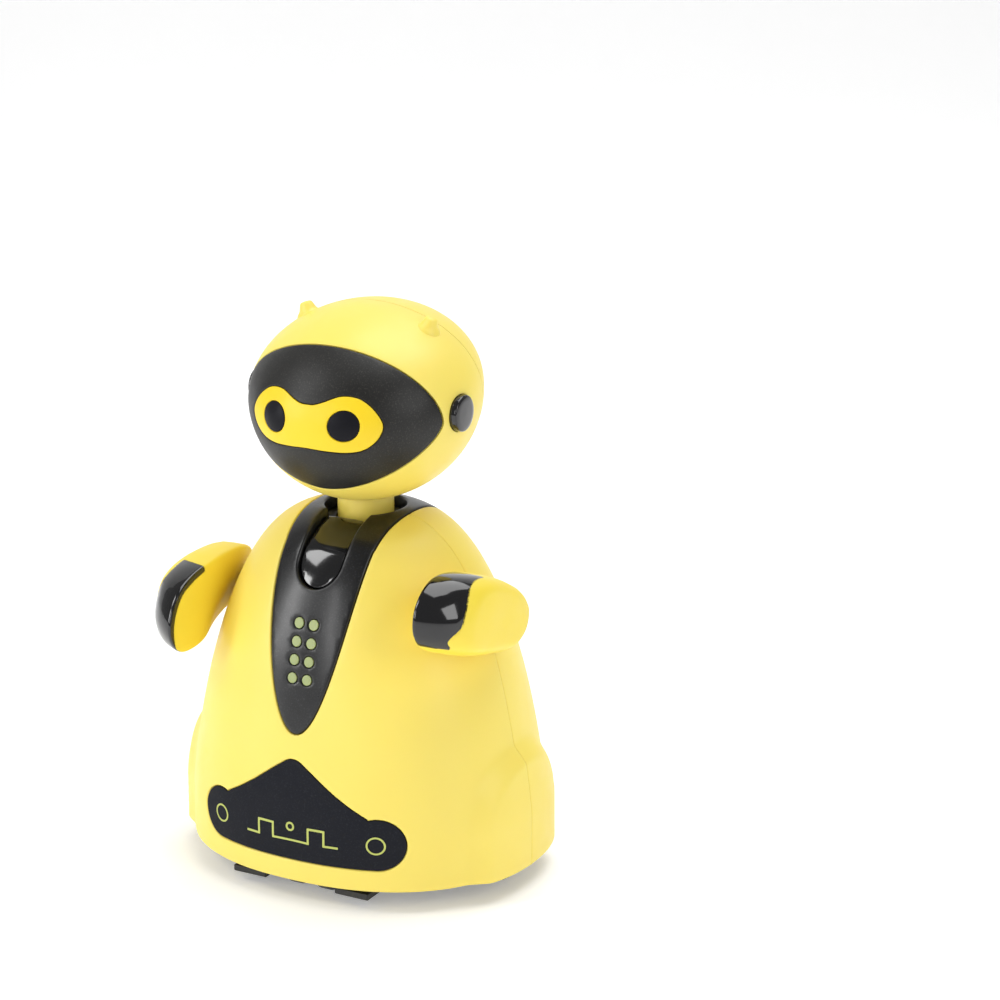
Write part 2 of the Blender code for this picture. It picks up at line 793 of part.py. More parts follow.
def swing_reach(place):
    """How far out the body comes past a point of the arm during its whole swing."""
    reach = 0.0
    for step in range(13):
        angle = -ARM_SWING_DOWN + (ARM_SWING_UP + ARM_SWING_DOWN) * step / 12
        turned_place = shoulder_turn(angle) @ place
        share = body_narrowing(min(turned_place.z, BODY_TOP), 0.0)
        half_depth = BODY_HALF_DEPTH * share + ARM_CLEARANCE
        across = min(1.0, abs(turned_place.y) / half_depth) ** BODY_PLAN_POWER
        half_width = BODY_HALF_WIDTH * share + ARM_CLEARANCE
        reach = max(reach, half_width * (1 - across) ** (1 / BODY_PLAN_POWER))
    return reach


def arm_form():
    """The whole left arm, level, from behind the shoulder to the fingertip."""
    sections = [
        stadium((29.6, 4.2), (31.8, 4.0), 0.30, 0.20, 0.7),
        stadium((28.8, 3.3), (33.4, 2.9), 0.62, 0.36, 0.8),
        stadium((28.4, 1.2), (34.6, 0.8), 0.90, 0.56, 0.8),
        stadium((28.2, -2.5), (35.4, -2.6), 1.05, 0.74, 0.75),
        stadium((28.0, -9.5), (35.9, -9.0), 1.08, 0.88, 0.65),
        stadium((27.6, -16.0), (36.0, -13.5), 1.07, 0.98, 0.5),
        stadium((27.0, -22.6), (36.0, -18.5), 1.00, 1.03, 0.35),
        stadium((26.6, -27.8), (35.4, -23.0), 0.86, 1.00, 0.25),
        stadium((27.2, -30.8), (34.2, -26.0), 0.64, 0.84, 0.2),
        stadium((28.8, -31.6), (32.6, -28.2), 0.30, 0.46, 0.15),
    ]
    return loft("arm_form", sections)


def cap_region(margin):
    """The space that the fingertip cap fills: the tip's end and a hook along the top."""
    curve = [(-15.5, 9.8), (-17.5, 7.5), (-21.5, 6.9), (-24.8, 5.4), (-26.7, 3.2), (-27.9, 0.4)]
    curve += [(-28.3, -3.0), (-29.2, -5.9), (-32.0, -7.8), (-60.0, -7.8), (-60.0, 30.0), (-15.5, 30.0)]
    rings = []
    for x in (18.0, 50.0):
        back = (x - CAP_INNER_X) * CAP_END_SLOPE + margin
        rings.append([Vector((x, y + back, SHOULDER_Z + z - margin)) for y, z in curve])
    region = loft("cap_region", rings)
    rings = []
    for z in (-14.0, 40.0):
        inner_y = -4.8 + margin - 0.58 * z
        behind = [(18.0, inner_y), (50.0, inner_y - 34.0), (50.0, 40.0), (18.0, 40.0)]
        rings.append([Vector((x, y, SHOULDER_Z + z)) for x, y in behind])
    return cut(region, loft("behind", rings))


def shoulder_turn(angle):
    """A turn about the shoulder pins that lifts a forward-pointing arm."""
    centre = Vector((0, SEAM_Y, SHOULDER_Z))
    return (
        Matrix.Translation(centre) @ Matrix.Rotation(-angle, 4, "X") @ Matrix.Translation(-centre)
    )


def make_arms():
    whole = arm_form()
    cut(whole, rod("pin_bore", "X", (SEAM_Y, SHOULDER_Z), ARM_PIN_RADIUS + GAP, 10, 32.0))
    cap = keep(copy_of(whole, "cap", Matrix.Identity(4)), cap_region(0.0))
    arm = cut(whole, cap_region(GAP))
    pin_profile = [(2.9, 21.2), (2.9, 22.3), (ARM_PIN_RADIUS, 22.3), (ARM_PIN_RADIUS, 31.6)]
    pin = turned("pin", "X", (SEAM_Y, SHOULDER_Z), pin_profile, 16)
    pivot = (0.0, SEAM_Y, SHOULDER_Z)
    pieces = ((arm, "arm", "yellow"), (cap, "arm_cap", "black"), (pin, "arm_pin", "steel"))
    for piece, name, colour in pieces:
        left = copy_of(piece, "left", shoulder_turn(LEFT_ARM_RAISE))
        finish(left, name + "_left", colour, pivot)
        other = mirrored(piece, "other")
        right = copy_of(other, "right", shoulder_turn(RIGHT_ARM_RAISE))
        finish(right, name + "_right", colour, pivot)
        for spent in (piece, other):
            bpy.data.objects.remove(spent)


# ---------------------------------------------------------------- running gear


def gear_outline(teeth, centre, tooth_angle):
    """A gear's outline with a tooth centred on tooth_angle, slimmed for backlash."""
    pitch_radius = teeth * GEAR_MODULE / 2
    tip_radius = pitch_radius + 0.8 * GEAR_MODULE
    root_radius = pitch_radius - 1.15 * GEAR_MODULE
    step = 2 * math.pi / teeth
    outline = []
    for i in range(teeth):
        middle = tooth_angle + i * step
        for radius, share in (
            (root_radius, -0.29),
            (tip_radius, -0.11),
            (tip_radius, 0.11),
            (root_radius, 0.29),
        ):
            angle = middle + share * step
            outline.append((centre[0] + radius * math.cos(angle), centre[1] + radius * math.sin(angle)))
    return outline


def train_centres():
    """Where the wheel, the idler and the motor turn, as (y, z)."""
    wheel = (0.0, WHEEL_RADIUS)
    first_distance = (WHEEL_GEAR_TEETH + PINION_TEETH) * GEAR_MODULE / 2
    rise = IDLER_Z - WHEEL_RADIUS
    idler = (-math.sqrt(first_distance**2 - rise**2), IDLER_Z)
    second_distance = (IDLER_TEETH + PINION_TEETH) * GEAR_MODULE / 2
    back = MOTOR_Y - idler[0]
    motor = (MOTOR_Y, idler[1] + math.sqrt(second_distance**2 - back**2))
    return wheel, idler, motor


def mesh_angles(first, second, second_teeth):
    """Tooth angles that put a tooth of the first gear in a gap of the second."""
    toward = math.atan2(second[1] - first[1], second[0] - first[0])
    return toward, toward + math.pi + math.pi / second_teeth


def make_gear_bracket(wheel, idler, motor):
    """Two plates joined below that carry the axle, the idler and the motor's nose."""
    outer_outline = [(-16.5, 5.5), (8.6, 5.5), (8.6, 16.5), (2.0, 20.0), (-13.0, 22.0), (-16.5, 20.0)]
    inner_outline = [(-14.2, 5.5), (-6.6, 5.5), (-6.6, 17.0), (-12.0, 22.5), (-22.8, 23.5), (-23.4, 13.2)]
    inner_outline.append((-14.2, 13.2))
    bracket = prism("bracket", outer_outline, "X", BRACKET_X, BRACKET_X + BRACKET_WIDTH)
    add(bracket, prism("inner", inner_outline, "X", MOTOR_FACE_X, MOTOR_FACE_X + BRACKET_WIDTH))
    add(bracket, box("web", (MOTOR_FACE_X + 0.2, -14.0, 5.5), (BRACKET_X + 0.2, -6.8, 6.2)))
    cut(bracket, rod("axle_bore", "X", wheel, AXLE_RADIUS + GAP, 20, 30, 12))
    cut(bracket, rod("idler_bore", "X", idler, 1.2 + GAP, 10, 30, 12))
    cut(bracket, rod("nose_bore", "X", motor, 2.2 + GAP, 10, 20, 12))
    return bracket


def make_drive(side, label):
    """One side's motor, gears, wheel, tyre and bracket."""
    wheel, idler, motor = train_centres()
    wheel_tooth, idler_small_tooth = mesh_angles(wheel, idler, PINION_TEETH)
    idler_big_tooth, motor_tooth = mesh_angles(idler, motor, PINION_TEETH)
    pieces = {}

    inner_plane = (INNER_GEARS_X, INNER_GEARS_X + GEAR_WIDTH)
    outer_plane = (OUTER_GEARS_X, OUTER_GEARS_X + GEAR_WIDTH)
    gear_edge = gear_outline(WHEEL_GEAR_TEETH, wheel, wheel_tooth)
    gear = prism("wheel_gear", gear_edge, "X", *outer_plane)
    axle_end = WHEEL_INNER_X + WHEEL_WIDTH - 0.4
    add(gear, rod("axle", "X", wheel, AXLE_RADIUS, BRACKET_X + 0.15, axle_end, 16))
    pieces["wheel_gear"] = (gear, "gear", wheel)

    inner = WHEEL_INNER_X
    outer = WHEEL_INNER_X + WHEEL_WIDTH
    hub_profile = [
        (AXLE_RADIUS + GAP, inner + 0.1),
        (9.4, inner + 0.1),
        (9.4, outer - 0.2),
        (8.2, outer - 0.2),
        (7.6, outer - 1.6),
        (3.6, outer - 1.6),
        (3.2, outer - 0.2),
        (AXLE_RADIUS + GAP, outer - 0.2),
    ]
    hub = turned("hub", "X", wheel, hub_profile, 20, True)
    pieces["wheel_hub"] = (hub, "black", wheel)

    tyre_profile = [
        (9.4 + GAP, inner),
        (11.5, inner),
        (WHEEL_RADIUS, inner + 0.8),
        (WHEEL_RADIUS, outer - 0.8),
        (11.5, outer),
        (9.4 + GAP, outer),
    ]
    tyre = turned("tyre", "X", wheel, tyre_profile, 28, True)
    pieces["tyre"] = (tyre, "rubber", wheel)

    compound = prism("idler", gear_outline(IDLER_TEETH, idler, idler_big_tooth), "X", *inner_plane)
    small = prism("small", gear_outline(PINION_TEETH, idler, idler_small_tooth), "X", *outer_plane)
    shaft = rod("shaft", "X", idler, 1.2, MOTOR_FACE_X + 0.3, OUTER_GEARS_X + 0.8, 12)
    add(compound, shaft, small)
    pieces["idler_gear"] = (compound, "gear", idler)

    pinion = prism("pinion", gear_outline(PINION_TEETH, motor, motor_tooth), "X", *inner_plane)
    add(pinion, rod("shaft", "X", motor, 0.8, 13.0, INNER_GEARS_X + 0.8, 10))
    pieces["motor_pinion"] = (pinion, "gear", motor)

    can_profile = [(MOTOR_RADIUS, 2.0), (MOTOR_RADIUS, 16.0), (2.2, 16.0), (2.2, 17.2)]
    can = turned("can", "X", motor, can_profile, 16)
    cut(can, rod("bore", "X", motor, 0.8 + GAP, 12.0, 20.0, 12))
    pieces["drive_motor"] = (can, "steel", motor)

    pieces["gear_bracket"] = (make_gear_bracket(wheel, idler, motor), "satin_black", wheel)

    for name, (solid, colour, centre) in pieces.items():
        placed = solid if side > 0 else mirrored(solid, name)
        finish(placed, name + "_" + label, colour, (0.0, centre[0], centre[1]))
        if side < 0:
            bpy.data.objects.remove(solid)


def make_rollers():
    place = (ROLLER_Y, ROLLER_RADIUS)
    half = ROLLER_WIDTH / 2
    for side, label in ((1, "left"), (-1, "right")):
        middle = side * ROLLER_X
        profile = [
            (1.1, middle - half),
            (2.6, middle - half),
            (ROLLER_RADIUS, middle - half + 0.8),
            (ROLLER_RADIUS, middle + half - 0.8),
            (2.6, middle + half),
            (1.1, middle + half),
        ]
        roller = turned("roller", "X", place, profile, 16, True)
        finish(roller, "front_roller_" + label, "rubber", (middle, *place))
    axle = rod("roller_axle", "X", place, 0.8, -7.4, 7.4, 12)
    finish(axle, "roller_axle", "steel", (0.0, *place))


# ---------------------------------------------------------------- base and electronics


def plate_holes(plate, place):
    """A countersunk hole for a base screw."""
    cut(plate, rod("hole", "Z", place, 1.3, 0, 10, 12))
    cut(plate, rod("sink", "Z", place, 2.2, 0, BASE_BOTTOM + 0.9, 12))


def make_base_plate():
    inset = BODY_WALL + 2 * GAP
    outline = plan_ring(BODY_HALF_WIDTH - inset, BODY_HALF_DEPTH - inset, BODY_PLAN_POWER, CORE_SIDES)
    plate = prism("base_plate", outline, "Z", BASE_BOTTOM, BASE_TOP)
    skid_profile = [(3.0, BASE_BOTTOM + 0.5), (2.7, 1.6), (1.9, 0.5), (0.9, 0.0)]
    add(plate, turned("skid", "Z", (0, 25.0), skid_profile, 16))
    for low, high in ((5.95, 7.3), (-7.3, -5.95), (-0.95, 0.95)):
        tab = box("tab", (low, ROLLER_Y - 2.0, 1.2), (high, ROLLER_Y + 2.0, BASE_BOTTOM + 0.5))
        add(plate, tab)
    for side in (-1, 1):
        slot_x = sorted((side * 1.1, side * 5.75))
        cut(plate, box("roller_slot", (slot_x[0], -24.9, 1), (slot_x[1], -18.1, 9)))
        notch_x = sorted((side * (BRACKET_X + BRACKET_WIDTH + 0.1), side * 45.0))
        cut(plate, box("wheel_notch", (notch_x[0], -13, 1), (notch_x[1], 13, 9)))
        sensor_x = sorted((side * 7.7, side * 15.8))
        cut(plate, box("sensor_slot", (sensor_x[0], -24.5, 1), (sensor_x[1], -20.9, 9)))
        plate_holes(plate, (side * FRONT_SCREW[0], FRONT_SCREW[1]))
    cut(plate, rod("axle_bore", "X", (ROLLER_Y, ROLLER_RADIUS), 1.1, -12, 12, 12))
    plate_holes(plate, REAR_SCREW)
    cut(plate, box("door_opening", (-22.6, -3.7, 1), (22.6, 18.0, 9)))
    cut(plate, box("tab_opening", (-3.4, -10.3, 1), (3.4, 0.0, 9)))
    cut(plate, box("switch_slot", (SWITCH_X - 1.9, SWITCH_Y - 1.2, 1), (SWITCH_X + 4.9, SWITCH_Y + 1.2, 9)))
    return finish(plate, "base_plate", "satin_black")


def make_battery_door():
    door = box("battery_door", (-22.3, -3.4, BASE_BOTTOM), (22.3, 17.7, BASE_TOP - 0.3))
    add(door, box("tab", (-3.1, -10.0, BASE_BOTTOM), (3.1, 0.0, BASE_TOP - 0.3)))
    for groove in range(4):
        y = 11.6 + groove * 1.4
        cut(door, box("grip", (-5, y, 1), (5, y + 0.6, BASE_BOTTOM + 0.4)))
    plate_holes(door, DOOR_SCREW)
    return finish(door, "battery_door", "satin_black")


def make_battery_box():
    low = (BAY_LOW[0] - BAY_WALL, BAY_LOW[1] - BAY_WALL, BAY_BOTTOM)
    high = (BAY_HIGH[0] + BAY_WALL, BAY_HIGH[1] + BAY_WALL, BAY_ROOF_Z + BAY_WALL)
    bay = box("battery_box", low, high)
    add(bay, rod("boss", "Z", DOOR_SCREW, 2.3, BAY_BOTTOM, 12.0, 12))
    cut(bay, box("bay", (*BAY_LOW, 0), (*BAY_HIGH, BAY_ROOF_Z)))
    cut(bay, rod("tap", "Z", DOOR_SCREW, 1.3, 0, 11.0, 12))
    return finish(bay, "battery_box", "satin_black")


def make_cells():
    half = CELL_LENGTH / 2
    for index, y in enumerate(CELL_Y):
        nose = 1 if index == 0 else -1
        profile = [
            (CELL_RADIUS, -half * nose),
            (CELL_RADIUS, (half - 1.2) * nose),
            (2.0, (half - 1.2) * nose),
            (2.0, half * nose),
        ]
        cell = turned("cell", "X", (y, CELL_Z), profile, 16)
        finish(cell, "battery_cell_" + str(index + 1), "cell")
    for side, label in ((1, "left"), (-1, "right")):
        xs = sorted((side * 22.5, side * 22.9))
        contact = box("contact", (xs[0], -3.1, 6.5), (xs[1], 17.4, 15.2))
        finish(contact, "battery_contact_" + label, "steel")


def make_screw(name, place):
    """A countersunk screw with a slotted head that points up into its boss."""
    x, y = place
    head = BASE_BOTTOM + 0.05
    profile = [(1.9, head), (1.9, head + 0.65), (1.0, head + 0.65), (1.0, 10.4)]
    screw = turned("screw", "Z", place, profile, 12)
    cut(screw, box("slot", (x - 1.3, y - 0.25, 0), (x + 1.3, y + 0.25, head + 0.35)))
    finish(screw, name, "steel")


def make_switch():
    knob = box("knob", (SWITCH_X - 1.6, SWITCH_Y - 0.9, 2.9), (SWITCH_X + 1.4, SWITCH_Y + 0.9, 6.0))
    finish(knob, "power_switch_knob", "black", (SWITCH_X, SWITCH_Y, BASE_BOTTOM))
    body_low = (SWITCH_X - 2.8, SWITCH_Y - 1.6, 6.3)
    body_high = (SWITCH_X + 5.8, SWITCH_Y + 1.4, 9.5)
    finish(box("switch", body_low, body_high), "power_switch_body", "steel")


def make_boards():
    main = box("main_board", (-19, -9.5, 21.0), (19, 19.5, 22.2))
    chips = (((-8, -4, 22), (4, 8, 24)), ((8, 10, 22), (15, 17, 27)), ((-16, 10, 22), (-11, 16, 26)))
    for low, high in chips:
        add(main, box("chip", low, high))
    finish(main, "main_board", "board")
    sensor = box("sensor_board", (-14.8, -24.9, 6.9), (14.8, -20.6, 7.9))
    finish(sensor, "sensor_board", "board")
    for side, label in ((1, "left"), (-1, "right")):
        xs = sorted((side * 8.0, side * 15.5))
        top = 6.6
        window = box("sensor", (xs[0], -24.2, 2.0), (xs[1], -21.2, top))
        add(window, box("hood", (xs[0], -27.4, 2.0), (xs[1], -24.0, BASE_BOTTOM - GAP)))
        finish(window, "line_sensor_" + label, "black")


def make_speaker():
    profile = [(8.0, 21.4), (8.0, 20.2), (6.2, 19.8), (4.2, 17.6)]
    speaker = turned("speaker", "Y", (0, 40), profile, 16)
    finish(speaker, "speaker", "steel")


# ---------------------------------------------------------------- assembly


def clear_scene():
    """Empties the file of the objects that it opened with."""
    for leftover in list(bpy.data.objects):
        bpy.data.objects.remove(leftover)


def main():
    clear_scene()
    make_front_shell()
    make_rear_shell()
    make_chest_panel()
    make_mode_button()
    make_light_guide()
    make_button_board()
    make_tact_switch()
    make_front_plate()
    make_head_shells()
    make_face()
    make_ear_cap(1, "left")
    make_ear_cap(-1, "right")
    make_eye_board()
    make_neck()
    make_arms()
    make_drive(1, "left")
    make_drive(-1, "right")
    make_rollers()
    make_base_plate()
    make_battery_door()
    make_battery_box()
    make_cells()
    make_screw("door_screw", DOOR_SCREW)
    make_screw("base_screw_left", FRONT_SCREW)
    make_screw("base_screw_right", (-FRONT_SCREW[0], FRONT_SCREW[1]))
    make_screw("base_screw_rear", REAR_SCREW)
    make_switch()
    make_boards()
    make_speaker()


main()
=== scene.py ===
"""Looks of the small line-following robot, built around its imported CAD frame.

The outside is made again as fine skins over the same body and head surfaces, with
rolled edges where two mouldings meet. Lengths are millimetres until a mesh is made.
"""

import json
import math

import bmesh
import bpy
import numpy as np
from mathutils import Matrix, Vector
from mathutils.geometry import delaunay_2d_cdt

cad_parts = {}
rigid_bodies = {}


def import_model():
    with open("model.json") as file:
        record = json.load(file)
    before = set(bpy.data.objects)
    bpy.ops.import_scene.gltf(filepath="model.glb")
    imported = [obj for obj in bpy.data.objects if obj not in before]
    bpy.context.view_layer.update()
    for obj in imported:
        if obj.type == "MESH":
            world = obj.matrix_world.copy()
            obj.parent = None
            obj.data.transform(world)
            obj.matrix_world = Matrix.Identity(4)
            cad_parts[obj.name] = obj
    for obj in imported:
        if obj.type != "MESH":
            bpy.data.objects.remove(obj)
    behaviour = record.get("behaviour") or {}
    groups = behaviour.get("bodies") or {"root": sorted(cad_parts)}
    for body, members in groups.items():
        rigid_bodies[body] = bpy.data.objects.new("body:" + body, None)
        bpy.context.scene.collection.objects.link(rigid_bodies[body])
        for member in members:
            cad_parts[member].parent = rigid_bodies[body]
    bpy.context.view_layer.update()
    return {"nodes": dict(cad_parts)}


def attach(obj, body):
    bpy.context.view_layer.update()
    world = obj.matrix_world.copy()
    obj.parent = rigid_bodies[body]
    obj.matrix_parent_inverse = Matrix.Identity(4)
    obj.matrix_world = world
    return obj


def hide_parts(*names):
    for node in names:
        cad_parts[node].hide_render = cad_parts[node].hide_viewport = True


MM = 0.001

# Body surface: a rounded square in plan under a domed top.
BODY_HALF_WIDTH = 36.0
BODY_HALF_DEPTH = 30.5
BODY_BOTTOM = 4.5
BODY_SHOULDER = 15.0
BODY_TOP = 74.3
BODY_SIDE_POWER = 1.27
BODY_CROWN_POWER = 3.44
SEAM_Y = -1.5
SKIRT_LEVEL = -1.0
LEVEL_STEP = 0.003

# Wheel-arch pads.
FENDER_RISE = 2.2
FENDER_HALF_WIDTH = 16.9
FENDER_CENTRE_Z = 12.0
FENDER_HEIGHT = 17.7
FENDER_POWER = 2.5
FENDER_BEVEL = 0.24

# Chest panel, collar and button.
PANEL_HALF_WIDTH = 9.8
PANEL_TIP_Z = 34.3
PANEL_WIDE_Z = 69.0
PANEL_BACK_Z = 60.0
SADDLE_HALF_WIDTH = 10.6
COLLAR_RADIUS = 8.2
COLLAR_FLOOR_Z = 71.4
NECK_RADIUS = 5.6
BUTTON_HALF_WIDTH = 4.65
BUTTON_END_Z = 66.8
DOT_X = 1.65
DOT_TOP_Z = 55.45
DOT_PITCH = 3.47
DOT_RADIUS = 1.02

# Front plate.
PLATE_PEAK_Z = 29.3
PLATE_LOBE_X = 17.9
PLATE_LOBE_Z = 14.2
PLATE_LOBE_RADIUS = 5.2
PLATE_BOTTOM_Z = 9.0
TRACK_LOW_Z = 13.0
TRACK_HIGH_Z = 16.0
SPEAKER_Z = 40.0
SPEAKER_SPREAD = 4.0
SPEAKER_HOLE = 0.9

# Head.
HEAD_HALF_WIDTH = 23.1
HEAD_HALF_DEPTH = 23.5
HEAD_RISE = 16.8
HEAD_DROP = 21.0
HEAD_CENTRE = Vector((0.0, 0.7, 96.7))
HEAD_TILT = math.radians(14.7)
HEAD_SEAM = 8.0
HEAD_MEAN_RADIUS = 22.0
MASK_HALF_WIDTH = 21.7
MASK_CENTRE_Z = 95.0
MASK_RISE = 13.7
MASK_DROP = 14.2
EYE_X = 7.7
EYE_Z = 95.5
EYE_RADIUS = 2.95
HORN_X = 13.6
HORN_BACK = 4.6
EAR_Y = -1.9
EAR_Z = 95.6
EAR_RADIUS = 3.6

# Arms.
SHOULDER_Z = 54.6
ARM_INNER_X = 27.0
ARM_OUTER_X = 36.2
ARM_SLANT = 0.72
ARM_CROWN = 0.9
ARM_CLEARANCE = 0.6
ARM_BLEND = 1.6
ARM_SWING = (-36, 14)
ARM_EDGE = 0.3
CAP_LIMIT_X = 34.9
LEFT_ARM_RAISE = math.radians(19)
RIGHT_ARM_RAISE = math.radians(-6)

# Wheels.
WHEEL_RADIUS = 12.0
WHEEL_INNER_X = 28.0
WHEEL_WIDTH = 5.0
TREAD_DEPTH = 0.22
ROLLER_X = 3.4
ROLLER_Y = -21.5
ROLLER_Z = 3.0

# Camera.
CAMERA_PLACE = Vector((293.05, -487.72, 247.38))
CAMERA_AIM = Vector((20.35, 18.23, 72.38))
CAMERA_LENS = 108.0

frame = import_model()


# ---------------------------------------------------------------- surfaces


class BodySkin:
    """The body's surface, flattened from above without changing its angles much."""

    def __init__(self):
        self.v = np.linspace(SKIRT_LEVEL, math.radians(89.7), 3000)
        self.z = self.height(self.v)
        self.k = self.narrowing(self.v)
        radius = 0.5 * (BODY_HALF_WIDTH + BODY_HALF_DEPTH) * self.k
        step = np.hypot(np.diff(radius), np.diff(self.z)) / (0.5 * (radius[1:] + radius[:-1]))
        stretch = np.append(np.cumsum(step[::-1])[::-1], 0.0)
        self.rho = radius[-1] * np.exp(stretch)
        self.radius = radius

    @staticmethod
    def height(v):
        rise = np.sin(np.clip(v, 0, math.pi / 2)) ** (2 / BODY_SIDE_POWER)
        sink = np.minimum(v, 0) * (BODY_SHOULDER - BODY_BOTTOM)
        return BODY_SHOULDER + (BODY_TOP - BODY_SHOULDER) * rise + sink

    @staticmethod
    def narrowing(v):
        return np.cos(np.clip(v, 0, math.pi / 2)) ** (2 / BODY_CROWN_POWER)

    @staticmethod
    def power(z):
        """The plan's squareness, which fades towards the top."""
        return np.interp(z, [BODY_BOTTOM, 40.0, BODY_TOP], [2.265, 2.2, 2.0])

    def raw(self, v, angle):
        """Points of the surface at levels v and plan angles."""
        z = self.height(v)
        k = self.narrowing(v)
        power = self.power(z)
        c, s = np.cos(angle), np.sin(angle)
        x = np.sign(c) * np.abs(c) ** (2 / power) * BODY_HALF_WIDTH * k
        y = np.sign(s) * np.abs(s) ** (2 / power) * BODY_HALF_DEPTH * k
        across = (np.abs(y) / FENDER_HALF_WIDTH) ** FENDER_POWER
        up = (np.maximum(0.0, z - FENDER_CENTRE_Z) / FENDER_HEIGHT) ** FENDER_POWER
        reach = np.clip((1 - (across + up) ** (1 / FENDER_POWER)) / FENDER_BEVEL, 0, 1)
        x = x + np.sign(c) * FENDER_RISE * reach * reach * (3 - 2 * reach)
        return np.stack([x, y, z], -1)

    def solid(self, flat, depth):
        """Points under the flattened places, sunk along the normal by depth."""
        rho = np.hypot(flat[:, 0], flat[:, 1])
        v = np.interp(-rho, -self.rho, self.v)
        angle = np.arctan2(flat[:, 1], flat[:, 0])
        h = LEVEL_STEP
        higher = np.minimum(v + h, 1.567)
        lower = np.maximum(v - h, SKIRT_LEVEL)
        up = self.raw(higher, angle) - self.raw(lower, angle)
        around = self.raw(v, angle + h) - self.raw(v, angle - h)
        normal = np.cross(around, up)
        normal /= np.linalg.norm(normal, axis=1)[:, None]
        return self.raw(v, angle) - normal * np.asarray(depth)[:, None]

    def scale(self, flat):
        """Flattened length per millimetre at each place."""
        rho = np.hypot(flat[:, 0], flat[:, 1])
        radius = np.interp(-rho, -self.rho, self.radius)
        return rho / radius

    def place(self, v, angle):
        rho = np.interp(v, self.v, self.rho)
        return np.stack([rho * np.cos(angle), rho * np.sin(angle)], -1)

    def from_side(self, u, z, facing, along_x=False):
        """Flattened place of a point seen from the front or back (or the side)."""
        u, z = np.asarray(u, float), np.asarray(z, float)
        v = np.interp(z, self.z, self.v)
        k = self.narrowing(v)
        power = self.power(z)
        size = BODY_HALF_DEPTH if along_x else BODY_HALF_WIDTH
        share = np.clip(np.abs(u) / (size * k), 0, 1) ** (power / 2)
        near = np.sign(u) * share
        far = facing * np.sqrt(1 - share**2)
        angle = np.arctan2(near, far) if along_x else np.arctan2(far, near)
        return self.place(v, angle)

    def from_above(self, x, y):
        """Flattened place of a point seen from above, near the top."""
        x, y = np.asarray(x, float), np.asarray(y, float)
        power = 2.0
        a = (np.abs(x) / BODY_HALF_WIDTH) ** power
        b = (np.abs(y) / BODY_HALF_DEPTH) ** power
        k = np.clip((a + b) ** (1 / power), 0, 1)
        v = np.arccos(k ** (BODY_CROWN_POWER / 2))
        angle = np.arctan2(np.sign(y) * b**0.5, np.sign(x) * a**0.5)
        return self.place(v, angle)


def head_rise(z):
    """The head's half-height, which differs above and below its middle."""
    return np.where(z > 0, HEAD_RISE, HEAD_DROP)


def head_axes(z):
    """The head's three half-lengths at each height in its own axes."""
    rise = head_rise(z)
    return np.stack([np.full_like(rise, HEAD_HALF_WIDTH), np.full_like(rise, HEAD_HALF_DEPTH), rise], -1)


def full_turn(count):
    """Angles evenly spaced round a circle."""
    return np.arange(count) / count * 2 * math.pi


def catmull_rom(p0, p1, p2, p3, f):
    """A smooth curve's values between p1 and p2, at a share f of the way."""
    square = 2 * p0 - 5 * p1 + 4 * p2 - p3
    cube = 3 * p1 - 3 * p2 + p3 - p0
    return 0.5 * (2 * p1 + (p2 - p0) * f + square * f**2 + cube * f**3)


class HeadSkin:
    """The head's surface, flattened from the back pole onto the face."""

    def solid(self, flat, depth):
        x, z = flat[:, 0], flat[:, 1]
        rr = x * x + z * z
        ball = np.stack([2 * x, rr - 1, 2 * z], -1) / (1 + rr)[:, None]
        axes = head_axes(ball[:, 2])
        normal = ball / axes
        normal /= np.linalg.norm(normal, axis=1)[:, None]
        local = ball * axes - normal * np.asarray(depth)[:, None]
        return head_to_world(local)

    def scale(self, flat):
        rr = (flat**2).sum(1)
        return (1 + rr) / (2 * HEAD_MEAN_RADIUS)

    def from_local(self, local):
        """Flattened place of points given in the head's own axes."""
        local = np.asarray(local, float)
        ball = local / head_axes(local[:, 2])
        ball /= np.linalg.norm(ball, axis=1)[:, None]
        return ball[:, [0, 2]] / (1 - ball[:, 1])[:, None]

    def from_front(self, x, z):
        """Flattened place of a point seen from the front."""
        x, z = np.asarray(x, float), np.asarray(z, float) - HEAD_CENTRE.z
        c, s = math.cos(HEAD_TILT), math.sin(HEAD_TILT)
        best = None
        for rise, sign in ((HEAD_RISE, 1), (HEAD_DROP, -1)):
            a = c * c / HEAD_HALF_DEPTH**2 + s * s / rise**2
            b = 2 * z * c * s * (1 / HEAD_HALF_DEPTH**2 - 1 / rise**2)
            e = s * s / HEAD_HALF_DEPTH**2 + c * c / rise**2
            d = (x / HEAD_HALF_WIDTH) ** 2 + z * z * e - 1
            y = (-b - np.sqrt(np.maximum(b * b - 4 * a * d, 0))) / (2 * a)
            local = np.stack([x, y * c + z * s, -y * s + z * c], -1)
            if best is None:
                best = local
            else:
                best = np.where((best[:, 2] < 0)[:, None], local, best)
        return self.from_local(best)


def head_to_world(local):
    """Points in the head's tilted axes, in the robot's axes."""
    c, s = math.cos(HEAD_TILT), math.sin(HEAD_TILT)
    x, y, z = local[:, 0], local[:, 1], local[:, 2]
    return np.stack([x + HEAD_CENTRE.x, y * c - z * s + HEAD_CENTRE.y, y * s + z * c + HEAD_CENTRE.z], -1)


BODY = BodySkin()
HEAD = HeadSkin()


# ---------------------------------------------------------------- meshes


def link(name, mesh):
    made = bpy.data.objects.new(name, mesh)
    bpy.context.scene.collection.objects.link(made)
    return made


